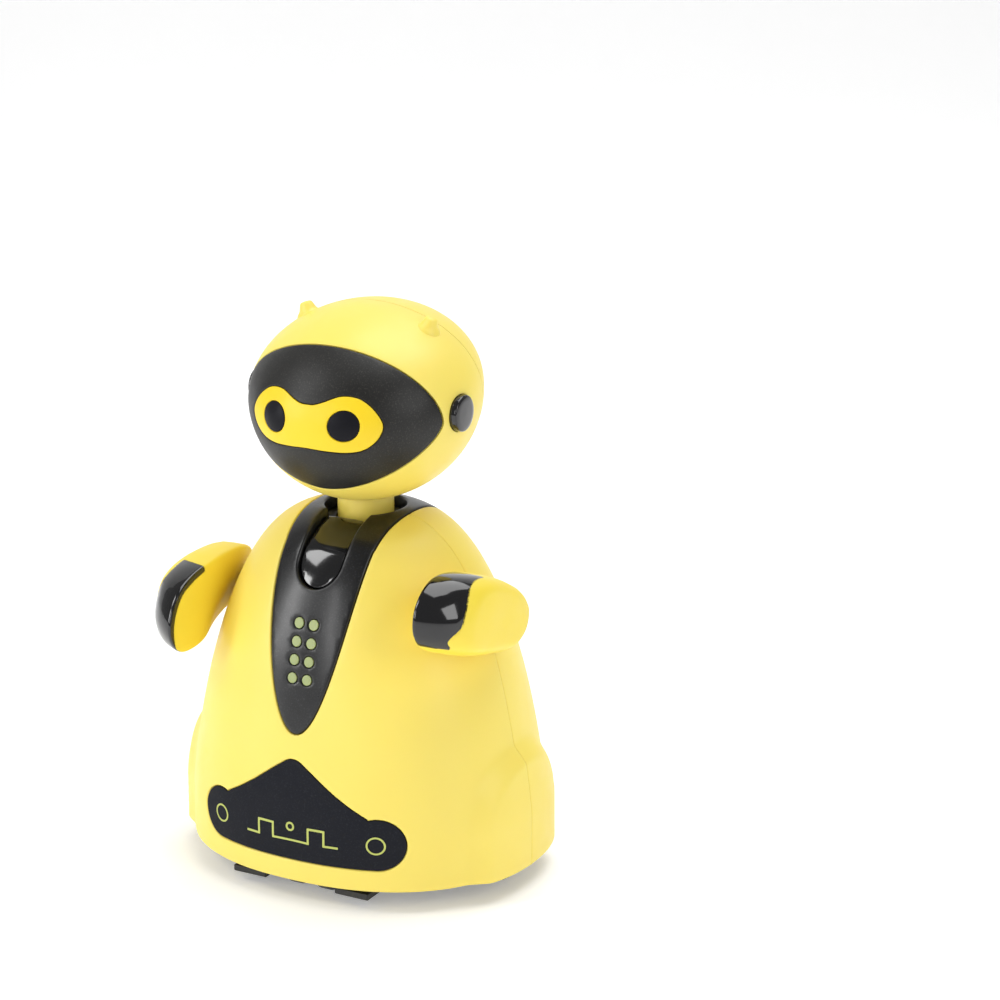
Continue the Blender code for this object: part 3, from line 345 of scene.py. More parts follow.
def make_mesh(name, points, faces, smooth_angle=38):
    """A smooth-shaded object from points in millimetres."""
    mesh = bpy.data.meshes.new(name)
    mesh.from_pydata((np.asarray(points) * MM).tolist(), [], [list(f) for f in faces])
    mesh.update()
    shape = bmesh.new()
    shape.from_mesh(mesh)
    bmesh.ops.remove_doubles(shape, verts=shape.verts, dist=0.002 * MM)
    bmesh.ops.recalc_face_normals(shape, faces=shape.faces)
    shape.to_mesh(mesh)
    shape.free()
    mesh.polygons.foreach_set("use_smooth", [True] * len(mesh.polygons))
    mesh.set_sharp_from_angle(angle=math.radians(smooth_angle))
    return link(name, mesh)


def resample(loop, spacing):
    """Evenly spaced points round a closed polyline."""
    closed = np.vstack([loop, loop[:1]])
    lengths = np.hypot(*np.diff(closed, axis=0).T)
    keep = np.append(lengths > 1e-9, True)
    closed = closed[keep]
    lengths = np.hypot(*np.diff(closed, axis=0).T)
    along = np.append(0, np.cumsum(lengths))
    count = max(8, int(round(along[-1] / spacing)))
    at = np.arange(count) / count * along[-1]
    return np.stack([np.interp(at, along, closed[:, i]) for i in (0, 1)], -1)


def fine_loop(skin, loop, spacing):
    """A flattened outline with points a given number of millimetres apart."""
    dense = resample(loop, 0.15 * spacing * float(np.min(skin.scale(loop))))
    step = np.hypot(*(np.roll(dense, -1, 0) - dense).T) / skin.scale(dense)
    along = np.append(0, np.cumsum(step))
    count = max(12, int(round(along[-1] / spacing)))
    at = np.arange(count) / count * along[-1]
    closed = np.vstack([dense, dense[:1]])
    return np.stack([np.interp(at, along, closed[:, i]) for i in (0, 1)], -1)


def signed_area(loop):
    nxt = np.roll(loop, -1, 0)
    return 0.5 * float(np.sum(loop[:, 0] * nxt[:, 1] - nxt[:, 0] * loop[:, 1]))


def inward(loop, hole):
    """Unit vectors in the flattened plane that point into the patch."""
    tangent = np.roll(loop, -1, 0) - np.roll(loop, 1, 0)
    tangent /= np.maximum(np.hypot(*tangent.T), 1e-12)[:, None]
    left = np.stack([-tangent[:, 1], tangent[:, 0]], -1)
    turn = 1 if signed_area(loop) > 0 else -1
    return left * turn * (-1 if hole else 1)


def in_polygon(points, loop):
    """Which points lie inside a closed polyline."""
    inside = np.zeros(len(points), bool)
    x, y = points[:, 0], points[:, 1]
    for (x0, y0), (x1, y1) in zip(loop, np.roll(loop, -1, 0)):
        if y0 == y1:
            continue
        crosses = (y0 > y) != (y1 > y)
        inside ^= crosses & (x < (x1 - x0) * (y - y0) / (y1 - y0) + x0)
    return inside


def near_any(points, others, reach):
    """Which points lie within reach of any of the others."""
    hit = np.zeros(len(points), bool)
    for start in range(0, len(points), 2000):
        part = points[start : start + 2000]
        gap = ((part[:, None, :] - others[None, :, :]) ** 2).sum(-1)
        limit = reach[start : start + 2000] ** 2
        hit[start : start + 2000] = (gap < limit[:, None]).any(1)
    return hit


def lip_depth(distance, lip):
    """How far a rolled edge has dropped at a distance from the outline."""
    inset = np.clip(lip - distance, 0, lip)
    return lip - np.sqrt(np.maximum(lip * lip - inset * inset, 0))


def skin_piece(name, skin, outer, grid, thickness, lip, edge, holes=(), drop=0.0, open_edges=None):
    """A shell over part of a skin, with rolled outer edges.

    outer and holes are flattened outlines, with points an edge length apart. grid holds the
    flattened inner points. drop sinks the whole piece and may be a function of the solid
    points. open_edges gives each outline point's share of the rolled edge.
    """
    loops = [(fine_loop(skin, np.asarray(outer), edge), False)]
    loops += [(fine_loop(skin, np.asarray(hole), edge), True) for hole in holes]
    points, depths, edges, rims = [], [], [], []
    count = 0
    steps = (0.0, 0.08, 0.28, 0.6, 1.0)
    for loop, hole in loops:
        into = inward(loop, hole)
        size = skin.scale(loop)[:, None]
        soft = np.ones(len(loop)) if open_edges is None else open_edges(loop)
        for share in steps:
            distance = share * lip
            points.append(loop + into * size * distance)
            depths.append(lip_depth(np.full(len(loop), distance), lip) * soft)
            if share == 0.0:
                index = np.arange(len(loop)) + count
                edges += list(zip(index.tolist(), np.roll(index, -1).tolist()))
                rims.append(index)
            count += len(loop)
    fence = np.vstack(points)
    inside = in_polygon(grid, loops[0][0])
    for loop, hole in loops[1:]:
        inside &= ~in_polygon(grid, loop)
    inner = grid[inside]
    inner = inner[~near_any(inner, fence, 0.55 * edge * skin.scale(inner))]
    flat = np.vstack([fence, inner])
    depth = np.append(np.concatenate(depths), np.zeros(len(inner)))
    verts, _, faces, origin, _, _ = delaunay_2d_cdt([Vector(p) for p in flat], edges, [], 0, 1e-7)
    order = np.array([o[0] if o else -1 for o in origin])
    made = np.array([tuple(v) for v in verts])
    faces = np.array([f for f in faces if len(f) == 3])
    middle = made[faces].mean(1)
    good = in_polygon(middle, loops[0][0])
    for loop, hole in loops[1:]:
        good &= ~in_polygon(middle, loop)
    good &= (order[faces] >= 0).all(1)
    faces = order[faces[good]]
    base = skin.solid(flat, np.zeros(len(flat)))
    sunk = drop(base) if callable(drop) else np.full(len(flat), float(drop))
    top = skin.solid(flat, depth + sunk)
    below = skin.solid(flat, np.full(len(flat), float(thickness)) + sunk)
    total = len(flat)
    all_faces = [tuple(f) for f in faces] + [tuple(int(i) + total for i in f[::-1]) for f in faces]
    for rim in rims:
        nxt = np.roll(rim, -1)
        all_faces += [(int(a), int(b), int(b) + total, int(a) + total) for a, b in zip(rim, nxt)]
    return make_mesh(name, np.vstack([top, below]), all_faces)


def body_grid(spacing):
    """Flattened points all over the body, about evenly spaced."""
    rows = []
    length = np.append(0, np.cumsum(np.hypot(np.diff(BODY.radius), np.diff(BODY.z))))
    start, stop = np.interp([SKIRT_LEVEL, math.radians(89.5)], BODY.v, length)
    for row, at in enumerate(np.arange(start + 0.5 * spacing, stop, spacing * 0.9)):
        v = np.interp(at, length, BODY.v)
        around = 2 * math.pi * float(np.interp(v, BODY.v, BODY.radius))
        count = max(6, int(around / spacing))
        angle = (np.arange(count) + 0.5 * (row % 2)) / count * 2 * math.pi
        rows.append(BODY.place(np.full(count, v), angle))
    return np.vstack(rows)


def head_grid(spacing):
    """Flattened points over the front of the head."""
    rows = []
    radius = 0.0
    row = 0
    while radius < 2.4:
        size = (1 + radius * radius) / (2 * HEAD_MEAN_RADIUS)
        count = max(1, int(2 * math.pi * radius / (size * spacing)))
        angle = (np.arange(count) + 0.5 * (row % 2)) / count * 2 * math.pi
        rows.append(np.stack([radius * np.cos(angle), radius * np.sin(angle)], -1))
        radius += size * spacing * 0.9
        row += 1
    return np.vstack(rows)


BODY_GRID = body_grid(1.1)
BODY_FINE = body_grid(0.7)
HEAD_GRID = head_grid(0.9)
HEAD_FINE = head_grid(0.6)


def turned(name, axis, centre, profile, sides=96, closed=False):
    """A profile of (radius, along) points turned about an axis."""
    angle = full_turn(sides)
    rings = []
    for radius, along in profile:
        u, v = centre[0] + radius * np.cos(angle), centre[1] + radius * np.sin(angle)
        w = np.full(sides, float(along))
        columns = {"X": (w, u, v), "Y": (u, w, v), "Z": (u, v, w)}[axis]
        rings.append(np.stack(columns, -1))
    return loft(name, rings, closed)


def loft(name, rings, closed=False, smooth_angle=38):
    """Joins rings of equal length; the ends are filled unless the rings close."""
    count, steps = len(rings[0]), len(rings)
    faces = []
    for step in range(steps if closed else steps - 1):
        low, high = step * count, ((step + 1) % steps) * count
        for i in range(count):
            after = (i + 1) % count
            faces.append((low + i, low + after, high + after, high + i))
    if not closed:
        faces += [tuple(range(count)), tuple(range((steps - 1) * count, steps * count))]
    return make_mesh(name, np.vstack(rings), faces, smooth_angle)


def rolled(corners, radius, steps=4):
    """A profile with each middle corner rounded."""
    out = [corners[0]]
    for before, corner, after in zip(corners, corners[1:], corners[2:]):
        p, q, r = Vector(before), Vector(corner), Vector(after)
        room = min(radius, 0.45 * (q - p).length, 0.45 * (r - q).length)
        start, stop = q + (p - q).normalized() * room, q + (r - q).normalized() * room
        for step in range(steps + 1):
            t = step / steps
            out.append(tuple(start * (1 - t) ** 2 + q * 2 * t * (1 - t) + stop * t * t))
    out.append(corners[-1])
    return out


# ---------------------------------------------------------------- outlines


def front_half_width(z, growth):
    """Half the bib's width at a height."""
    low = PANEL_TIP_Z - growth
    share = np.clip((PANEL_WIDE_Z - z) / (PANEL_WIDE_Z - low), 0, 1)
    return (PANEL_HALF_WIDTH + growth) * np.sqrt(1 - share**1.5)


def saddle_side(growth):
    """Right-hand edge of the saddle, from the bib's tip over the top to the tail."""
    low = PANEL_TIP_Z - growth
    z = low + (PANEL_WIDE_Z - low) * np.linspace(0, 1, 60) ** 2
    front = BODY.from_side(front_half_width(z, growth), z, -1)
    y = np.linspace(-13.6, 13.6, 40)
    x = SADDLE_HALF_WIDTH + growth - np.where(y < 0, 0.8, 0.4) * (y / 13.8) ** 2
    top = BODY.from_above(x, y)
    radius = PANEL_HALF_WIDTH + 0.5 + growth
    centre = PANEL_BACK_Z + PANEL_HALF_WIDTH
    turn = np.linspace(math.radians(82), 0, 30)
    back = BODY.from_side(radius * np.sin(turn), centre - radius * np.cos(turn), 1)
    return np.vstack([front, top, back])


def mirror(loop):
    """The same outline on the other side, in reverse order."""
    return loop[::-1] * np.array([-1, 1])


def saddle_loop(growth):
    side = saddle_side(growth)
    return np.vstack([side, mirror(side)])


def tongue_loop(growth):
    """The button's outline, which stops short of the neck."""
    radius = BUTTON_HALF_WIDTH + growth
    turn = np.linspace(math.pi / 2, -math.pi / 2, 50)
    arc = BODY.from_side(radius * np.sin(turn), BUTTON_END_Z - radius * np.cos(turn), -1)
    side_y = np.linspace(-14.5, -7.2, 24)
    side = BODY.from_above(np.full(24, radius), side_y)
    right = side[::-1]
    return np.vstack([right, arc, mirror(right)])


def plate_loop(growth):
    """The front plate's outline."""
    radius = PLATE_LOBE_RADIUS + growth
    lobe = np.radians(np.linspace(-90, 110, 40))
    lobe_x, lobe_z = PLATE_LOBE_X + radius * np.cos(lobe), PLATE_LOBE_Z + radius * np.sin(lobe)
    path_x = np.concatenate([[0.0, 8.0, 13.5], lobe_x, [15.9, 12.6, 8.9, 4.5, 1.6, 0.7, 0.0]])
    path_z = np.concatenate(
        [
            [PLATE_BOTTOM_Z - growth] * 3,
            lobe_z,
            np.array([19.4, 21.3, 23.7, 26.9, 28.9, 29.25, PLATE_PEAK_Z]) + growth,
        ]
    )
    dense_x = np.interp(np.linspace(0, 1, 400), np.linspace(0, 1, len(path_x)), path_x)
    dense_z = np.interp(np.linspace(0, 1, 400), np.linspace(0, 1, len(path_z)), path_z)
    right = BODY.from_side(dense_x, dense_z, -1)
    return np.vstack([right, mirror(right)])


def mask_xz(growth, count=220):
    """The visor mask's outline, seen from the front."""
    angle = full_turn(count)
    c, s = np.cos(angle), np.sin(angle)
    power = np.where(s > 0, 2.0, 1.7)
    rise = np.where(s > 0, MASK_RISE, MASK_DROP)
    x = np.sign(c) * np.abs(c) ** (2 / power) * (MASK_HALF_WIDTH + growth)
    z = MASK_CENTRE_Z + np.sign(s) * np.abs(s) ** (2 / power) * (rise + growth)
    return x, z


def mask_loop(growth):
    return HEAD.from_front(*mask_xz(growth))


def goggle_loop(growth):
    """Two soft lobes with a shallow valley between their tops."""
    key_x = np.array([0.0, 4.0, 8.0, 11.0, 13.3, 14.4, 13.9, 12.1, 9.6, 6.5, 3.4, 1.6, 0.0])
    key_z = np.array([90.5, 90.3, 90.2, 90.8, 92.6, 95.0, 97.0, 99.2, 100.7, 100.9, 99.7, 99.1, 99.0])
    t = np.linspace(0, len(key_x) - 1, 300)
    base = np.floor(t).astype(int).clip(0, len(key_x) - 2)
    f = t - base

    def smooth(key):
        """A curve through the key points, mirrored at both ends."""
        ends = (2 * key[0] - key[1], 2 * key[-1] - key[-2])
        if key is key_z:
            ends = (key[1], key[-2])
        padded = np.concatenate([[ends[0]], key, [ends[1]]])
        return catmull_rom(*(padded[base + i] for i in range(4)), f)

    x, z = smooth(key_x), smooth(key_z)
    right = HEAD.from_front(x, z)
    loop = np.vstack([right, mirror(right)])
    if growth:
        loop = resample(loop, 0.01)
        size = HEAD.scale(loop)[:, None]
        loop = loop - inward(loop, False) * size * growth
    return loop


def disc_loop(x, z, radius, count=90):
    """A round hole in the face, seen from the front."""
    turn = full_turn(count)
    return HEAD.from_front(x + radius * np.cos(turn), z + radius * np.sin(turn))


def body_disc(x, z, radius, facing):
    """A circle on the body, seen from the front (facing -1) or the back (1)."""
    turn = full_turn(40)
    return BODY.from_side(x + radius * np.cos(turn), z + radius * np.sin(turn), facing)


# ---------------------------------------------------------------- materials


class Look:
    """A node material in the making, placed by the object's own coordinates."""

    def __init__(self, name):
        self.made = bpy.data.materials.new(name)
        self.made.use_nodes = True
        self.nodes, self.links = self.made.node_tree.nodes, self.made.node_tree.links
        self.shader = self.nodes["Principled BSDF"]
        self.place = self.nodes.new("ShaderNodeTexCoord").outputs["Object"]

    def set(self, name, value):
        self.shader.inputs[name].default_value = value

    def wire(self, value, name):
        self.links.new(value, self.shader.inputs[name])

    def noise(self, scale, detail=3.0, roughness=0.5):
        texture = self.nodes.new("ShaderNodeTexNoise")
        texture.inputs["Scale"].default_value = scale
        texture.inputs["Detail"].default_value = detail
        texture.inputs["Roughness"].default_value = roughness
        self.links.new(self.place, texture.inputs["Vector"])
        return texture.outputs["Fac"]

    def ramp(self, value, low, high, from_low=0.3, from_high=0.7):
        """Maps a noise value onto a range."""
        node = self.nodes.new("ShaderNodeMapRange")
        node.inputs["From Min"].default_value = from_low
        node.inputs["From Max"].default_value = from_high
        node.inputs["To Min"].default_value = low
        node.inputs["To Max"].default_value = high
        self.links.new(value, node.inputs["Value"])
        return node.outputs["Result"]

    def colours(self, value, first, second):
        """Blends the base colour between two colours."""
        node = self.nodes.new("ShaderNodeMix")
        node.data_type = "RGBA"
        node.inputs["A"].default_value = (*first, 1)
        node.inputs["B"].default_value = (*second, 1)
        self.links.new(value, node.inputs["Factor"])
        self.wire(node.outputs["Result"], "Base Color")

    def bump(self, heights):
        """Stacks bumps, each a (height, distance in millimetres) pair."""
        normal = None
        for height, distance in heights:
            node = self.nodes.new("ShaderNodeBump")
            node.inputs["Strength"].default_value = 1.0
            node.inputs["Distance"].default_value = distance * MM
            self.links.new(height, node.inputs["Height"])
            if normal:
                self.links.new(normal, node.inputs["Normal"])
            normal = node.outputs["Normal"]
        self.wire(normal, "Normal")


def plastic(name, light, dark, roughness, grain=(0.004, 2600, 0.02), coat=0.0, soft=0.0, shine=0.5):
    """Moulded plastic with slight colour drift, rubbed patches and fine texture.

    grain holds the texture's height, its scale and the height of the broad waviness.
    """
    look = Look(name)
    look.colours(look.ramp(look.noise(45, 2), 0, 1), light, dark)
    look.wire(look.ramp(look.noise(160, 5, 0.65), roughness * 0.85, roughness * 1.2), "Roughness")
    height, scale, waviness = grain
    fine = look.noise(scale, 2)
    look.bump([(look.noise(90, 1), waviness), (fine, height)])
    look.set("IOR", 1.5)
    look.set("Specular IOR Level", shine)
    if coat:
        look.set("Coat Weight", coat)
        look.set("Coat Roughness", 0.06)
    if soft:
        look.set("Subsurface Weight", soft)
        look.set("Subsurface Radius", (1.0, 0.7, 0.12))
        look.set("Subsurface Scale", 0.0016)
    return look.made


def speckled_black(name, base, roughness, painted_glint, coat, shine):
    """Black plastic from a spark-eroded mould, with tiny pale flecks painted into its colour as the
    texture's glints.
    """
    look = Look(name)
    # Painted glints: pale flecks mixed into the base colour stand for the tiny highlights of the textured
    # surface.
    look.colours(look.ramp(look.noise(3600, 1), 0, 1, 0.55, 0.75), base, painted_glint)
    look.wire(look.ramp(look.noise(140, 4, 0.6), roughness * 0.88, roughness * 1.15), "Roughness")
    fine = look.noise(2800, 2)
    look.bump([(look.noise(110, 1), 0.015), (fine, 0.010)])
    look.set("IOR", 1.5)
    look.set("Specular IOR Level", shine)
    look.set("Coat Weight", coat)
    look.set("Coat Roughness", 0.16)
    return look.made


def rubber_material():
    look = Look("tyre_rubber")
    dust = look.noise(220, 5, 0.7)
    look.colours(look.ramp(dust, 0, 1, 0.5, 0.75), (0.016, 0.016, 0.016), (0.06, 0.058, 0.055))
    look.wire(look.ramp(dust, 0.6, 0.85), "Roughness")
    look.bump([(look.noise(1500, 4), 0.03)])
    return look.made


def steel_material():
    look = Look("plated_steel")
    look.colours(look.ramp(look.noise(300, 4), 0, 1), (0.62, 0.62, 0.64), (0.5, 0.5, 0.5))
    look.set("Metallic", 1.0)
    look.wire(look.ramp(look.noise(900, 3), 0.22, 0.4), "Roughness")
    look.bump([(look.noise(1800, 2), 0.006)])
    return look.made


def board_material():
    """Green circuit board with faint tracks under the lacquer."""
    look = Look("circuit_board")
    cells = look.nodes.new("ShaderNodeTexVoronoi")
    cells.feature = "DISTANCE_TO_EDGE"
    cells.inputs["Scale"].default_value = 420
    look.links.new(look.place, cells.inputs["Vector"])
    track = look.ramp(cells.outputs["Distance"], 1, 0, 0.02, 0.08)
    look.colours(track, (0.01, 0.10, 0.04), (0.03, 0.24, 0.09))
    look.wire(look.ramp(look.noise(500), 0.3, 0.5), "Roughness")
    look.bump([(track, 0.03)])
    return look.made


# Two copies of one yellow plastic. The shell copy has extra blue, a painted pale sheen that stands in for
# the soft white reflection on lit faces. The arm copy is deeper, painted shade for the arms' shaded inner
# sides.
YELLOW_WITH_PAINTED_SHEEN = plastic("lemon_shell_painted_sheen", (0.95, 0.77, 0.145), (0.93, 0.745, 0.13), 0.42, soft=0.10, shine=0.6)
ARM_YELLOW_PAINTED_SHADE = plastic("arm_yellow_painted_shade", (0.95, 0.745, 0.06), (0.93, 0.72, 0.05), 0.42, soft=0.08, shine=0.6)
DEEP_YELLOW = plastic("deep_yellow_trim", (0.95, 0.68, 0.012), (0.93, 0.65, 0.01), 0.42, soft=0.06)
PRINT = plastic("pale_olive_print", (0.55, 0.60, 0.16), (0.50, 0.55, 0.14), 0.5, shine=0.3)
DOT = plastic("light_guide_green", (0.40, 0.46, 0.20), (0.35, 0.41, 0.17), 0.42, soft=0.2)
# The lighter second colour of each speckled black is painted glints.
PLATE = speckled_black("plate_slate", (0.015, 0.016, 0.021), 0.6, (0.024, 0.026, 0.032), 0.0, 0.07)
SATIN = speckled_black("satin_black", (0.003, 0.003, 0.0035), 0.30, (0.022, 0.022, 0.024), 0.10, 0.5)
MASK_BLACK = speckled_black("mask_black", (0.006, 0.0055, 0.0045), 0.44, (0.028, 0.027, 0.022), 0.0, 0.45)
POLISHED = (0.0005, 2600, 0.008)
FINE_GRAIN = (0.002, 2600, 0.01)
GLOSS = plastic("gloss_black", (0.003, 0.003, 0.004), (0.005, 0.005, 0.005), 0.10, POLISHED, coat=0.5)
EYE = plastic("eye_black", (0.008, 0.008, 0.011), (0.010, 0.010, 0.013), 0.42, FINE_GRAIN, shine=0.12)
BASE_BLACK = plastic("base_black", (0.013, 0.013, 0.014), (0.02, 0.02, 0.02), 0.5, (0.01, 1500, 0.02))
RUBBER = rubber_material()
STEEL = steel_material()
BOARD = board_material()
GEAR = plastic("acetal_white", (0.80, 0.80, 0.76), (0.74, 0.74, 0.70), 0.42, soft=0.15)
CELL = plastic("cell_sleeve", (0.05, 0.14, 0.40), (0.04, 0.11, 0.34), 0.25)


def dress(piece, look, body, replaced=()):
    """Gives a piece its material, its body and the CAD nodes that it stands for."""
    piece.data.materials.clear()
    piece.data.materials.append(look)
    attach(piece, body)
    if replaced:
        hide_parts(*replaced)
    return piece


# ---------------------------------------------------------------- body pieces


def half_shell_loop(facing, seam_gap, growth):
    """Half of the body seen from above: skirt, seam, saddle edge, seam."""
    y_seam = SEAM_Y + facing * seam_gap
    v = np.linspace(SKIRT_LEVEL, 1.49, 400)
    z, k = BODY.height(v), BODY.narrowing(v)
    share = np.clip(abs(y_seam) / (BODY_HALF_DEPTH * k), 0, 1) ** (BODY.power(z) / 2)
    angle = np.arctan2(-share, np.sqrt(1 - share**2))
    seam = BODY.place(v, angle)
    points = BODY.solid(seam, np.zeros(len(seam)))
    edge = saddle_side(growth)
    solid_edge = BODY.solid(edge, np.zeros(len(edge)))
    wanted = (solid_edge[:, 1] < y_seam) if facing < 0 else (solid_edge[:, 1] > y_seam)
    edge = edge[wanted]
    limit = SADDLE_HALF_WIDTH + growth
    seam = seam[points[:, 0] > limit]
    start = math.atan2(seam[0, 1], seam[0, 0])
    rim_angle = np.linspace(facing * math.pi / 2, start, 200)
    rim = BODY.place(np.full(200, SKIRT_LEVEL), rim_angle)
    along = edge[::-1] if facing < 0 else edge
    right = np.vstack([rim, seam, along])
    return np.vstack([right, mirror(right)])


def seam_softness(loop):
    """A fine edge along the seam and a fuller one round the skirt and the saddle."""
    points = BODY.solid(loop, np.zeros(len(loop)))
    on_seam = (np.abs(points[:, 1] - SEAM_Y) < 0.12) & (np.abs(points[:, 0]) > 11.2)
    return np.where(on_seam, 0.25, 1.0)


def make_shells():
    around = np.arange(6) * math.pi / 3
    spread = [(SPEAKER_SPREAD * math.cos(a), SPEAKER_Z + SPEAKER_SPREAD * math.sin(a)) for a in around]
    speaker = [body_disc(x, z, SPEAKER_HOLE, 1) for x, z in [(0.0, SPEAKER_Z)] + spread]
    for facing, label, holes in ((-1, "front", [plate_loop(0.10)]), (1, "rear", speaker)):
        outline = half_shell_loop(facing, 0.04, 0.14)
        name = label + "_shell_skin"
        shell = skin_piece(name, BODY, outline, BODY_GRID, 2.2, 0.4, 0.55, holes, open_edges=seam_softness)
        dress(shell, YELLOW_WITH_PAINTED_SHEEN, "body", [label + "_shell"])


def keyhole_loop(growth):
    """The collar's round edge joined to the button's slot."""
    half = BUTTON_HALF_WIDTH + growth
    start = math.asin(half / COLLAR_RADIUS)
    turn = np.linspace(-math.pi / 2 + start, math.pi / 2, 90)
    ring = BODY.from_above(COLLAR_RADIUS * np.cos(turn), COLLAR_RADIUS * np.sin(turn))
    side_y = np.linspace(-14.2, -COLLAR_RADIUS * math.cos(start) - 0.3, 24)
    side = BODY.from_above(np.full(24, half), side_y)
    arc_turn = np.linspace(0, math.pi / 2, 30)
    arc = BODY.from_side(half * np.sin(arc_turn), BUTTON_END_Z - half * np.cos(arc_turn), -1)
    right = np.vstack([arc, side, ring])
    return np.vstack([right, mirror(right)])


def dot_places():
    return [(side * DOT_X, DOT_TOP_Z - row * DOT_PITCH) for row in range(4) for side in (-1, 1)]


def make_panel():
    holes = [keyhole_loop(0.28)]
    holes += [body_disc(x, z, DOT_RADIUS + 0.06, -1) for x, z in dot_places()]
    panel = skin_piece("chest_saddle", BODY, saddle_loop(0.0), BODY_FINE, 2.4, 0.45, 0.4, holes)
    dress(panel, SATIN, "body", ["chest_panel"])
    hole, rim, below = NECK_RADIUS + 0.3, 9.0, 70.0
    corners = [(hole, below), (hole, COLLAR_FLOOR_Z), (rim, COLLAR_FLOOR_Z), (rim, below)]
    floor = turned("collar_floor", "Z", (0, 0), rolled(corners, 0.3), closed=True)
    dress(floor, SATIN, "body")
    for index, (x, z) in enumerate(dot_places()):
        name = "light_dot_" + str(index + 1)
        dot = skin_piece(name, BODY, body_disc(x, z, DOT_RADIUS, -1), BODY_FINE, 2.0, 0.12, 0.25, drop=0.03)
        dress(dot, DOT, "body", ["light_guide"] if index == 0 else ())


def button_drop(points):
    """The pad at the button's end stands proud of the strip above it."""
    above_pad = np.clip(points[:, 2] - 68.7, 0, 3.0)
    return 0.75 + 0.22 * above_pad


def make_button():
    button = skin_piece("button_tongue", BODY, tongue_loop(0.0), BODY_FINE, 1.6, 0.3, 0.35, drop=button_drop)
    dress(button, GLOSS, "button", ["mode_button"])


def ribbon_loop(path, half):
    """Outline of a thin line with square corners, in front-view millimetres."""
    path = np.asarray(path, float)
    before = np.diff(np.vstack([2 * path[0] - path[1], path]), axis=0)
    after = np.diff(np.vstack([path, 2 * path[-1] - path[-2]]), axis=0)
    before /= np.hypot(*before.T)[:, None]
    after /= np.hypot(*after.T)[:, None]
    normal = np.stack([-(before + after)[:, 1], (before + after)[:, 0]], -1)
    normal /= np.hypot(*normal.T)[:, None]
    cosine = np.abs((normal * np.stack([-after[:, 1], after[:, 0]], -1)).sum(1))
    shift = normal * (half / cosine)[:, None]
    return np.vstack([path + shift, (path - shift)[::-1]])


def print_piece(name, loops):
    """A thin printed shape on the front plate; the first loop is its outline."""
    flat = [BODY.from_side(loop[:, 0], loop[:, 1], -1) for loop in loops]
    piece = skin_piece(name, BODY, flat[0], BODY_FINE, 0.12, 0.02, 0.16, flat[1:], drop=-0.03)
    dress(piece, PRINT, "body")


def make_plate():
    plate = skin_piece("front_plate_skin", BODY, plate_loop(0.0), BODY_FINE, 0.9, 0.22, 0.4, drop=0.04)
    dress(plate, PLATE, "body", ["front_plate"])
    turn = full_turn(60)
    circle = np.stack([np.cos(turn), np.sin(turn)], -1)
    for side, label in ((1, "left"), (-1, "right")):
        centre = np.array([side * 17.7, PLATE_LOBE_Z])
        print_piece("plate_ring_" + label, [centre + 1.85 * circle, centre + 1.5 * circle])
    low, high = TRACK_LOW_Z, TRACK_HIGH_Z
    half_track = [(10.4, low), (7.4, low), (7.4, high), (4.0, high), (4.0, low)]
    track = [(-x, z) for x, z in half_track] + half_track[::-1]
    print_piece("plate_track_line", [ribbon_loop(track, 0.22)])
    centre = np.array([0.0, high - 0.1])
    print_piece("plate_track_stop_1", [centre + 0.95 * circle, centre + 0.55 * circle])


# ---------------------------------------------------------------- head pieces


def seam_ring(local_y, count=260):
    """The head's outline at a depth, in its own axes."""
    share = math.sqrt(1 - (local_y / HEAD_HALF_DEPTH) ** 2)
    turn = full_turn(count)
    z = np.sin(turn) * share
    return np.stack([np.cos(turn) * share * HEAD_HALF_WIDTH, np.full(count, local_y), z * head_rise(z)], -1)


def ear_loop(side, radius, count=80):
    """A round hole in the head's side."""
    c, s = math.cos(HEAD_TILT), math.sin(HEAD_TILT)
    turn = full_turn(count)
    y = EAR_Y + radius * np.cos(turn) - HEAD_CENTRE.y
    z = EAR_Z + radius * np.sin(turn) - HEAD_CENTRE.z
    local_y, local_z = y * c + z * s, -y * s + z * c
    rise = head_rise(local_z)
    x = side * HEAD_HALF_WIDTH * np.sqrt(1 - (local_y / HEAD_HALF_DEPTH) ** 2 - (local_z / rise) ** 2)
    return HEAD.from_local(np.stack([x, local_y, local_z], -1))


def neck_loop(radius, count=80):
    """The round hole below the head."""
    c, s = math.cos(HEAD_TILT), math.sin(HEAD_TILT)
    turn = full_turn(count)
    x, y = radius * np.cos(turn), radius * np.sin(turn) - HEAD_CENTRE.y
    p, q = 1 / HEAD_HALF_DEPTH**2, 1 / HEAD_DROP**2
    a = s * s * p + c * c * q
    b = 2 * y * c * s * (p - q)
    d = (x / HEAD_HALF_WIDTH) ** 2 + y * y * (c * c * p + s * s * q) - 1
    z = (-b - np.sqrt(b * b - 4 * a * d)) / (2 * a)
    return HEAD.from_local(np.stack([x, y * c + z * s, -y * s + z * c], -1))


def make_head_rear():
    """The rear half: an inner dome and an outer one, joined along the seam."""
    start = math.asin((HEAD_SEAM + 0.03) / HEAD_HALF_DEPTH)
    rings = []
    for depth in (2.0, 0.0):
        levels = []
        for angle in np.linspace(start, math.radians(89.7), 40):
            loop = seam_ring(0.0, 160)
            loop[:, [0, 2]] *= math.cos(angle)
            loop[:, 1] = math.sin(angle) * HEAD_HALF_DEPTH
            normal = loop / head_axes(loop[:, 2]) ** 2
            normal /= np.linalg.norm(normal, axis=1)[:, None]
            moved = loop - normal * depth
            if angle == start:
                moved[:, 1] = loop[:, 1]
            levels.append(head_to_world(moved))
        rings += levels if depth == 0.0 else levels[::-1]
    rear = loft("head_rear_skin", rings)
    dress(rear, YELLOW_WITH_PAINTED_SHEEN, "head", ["head_rear_shell"])


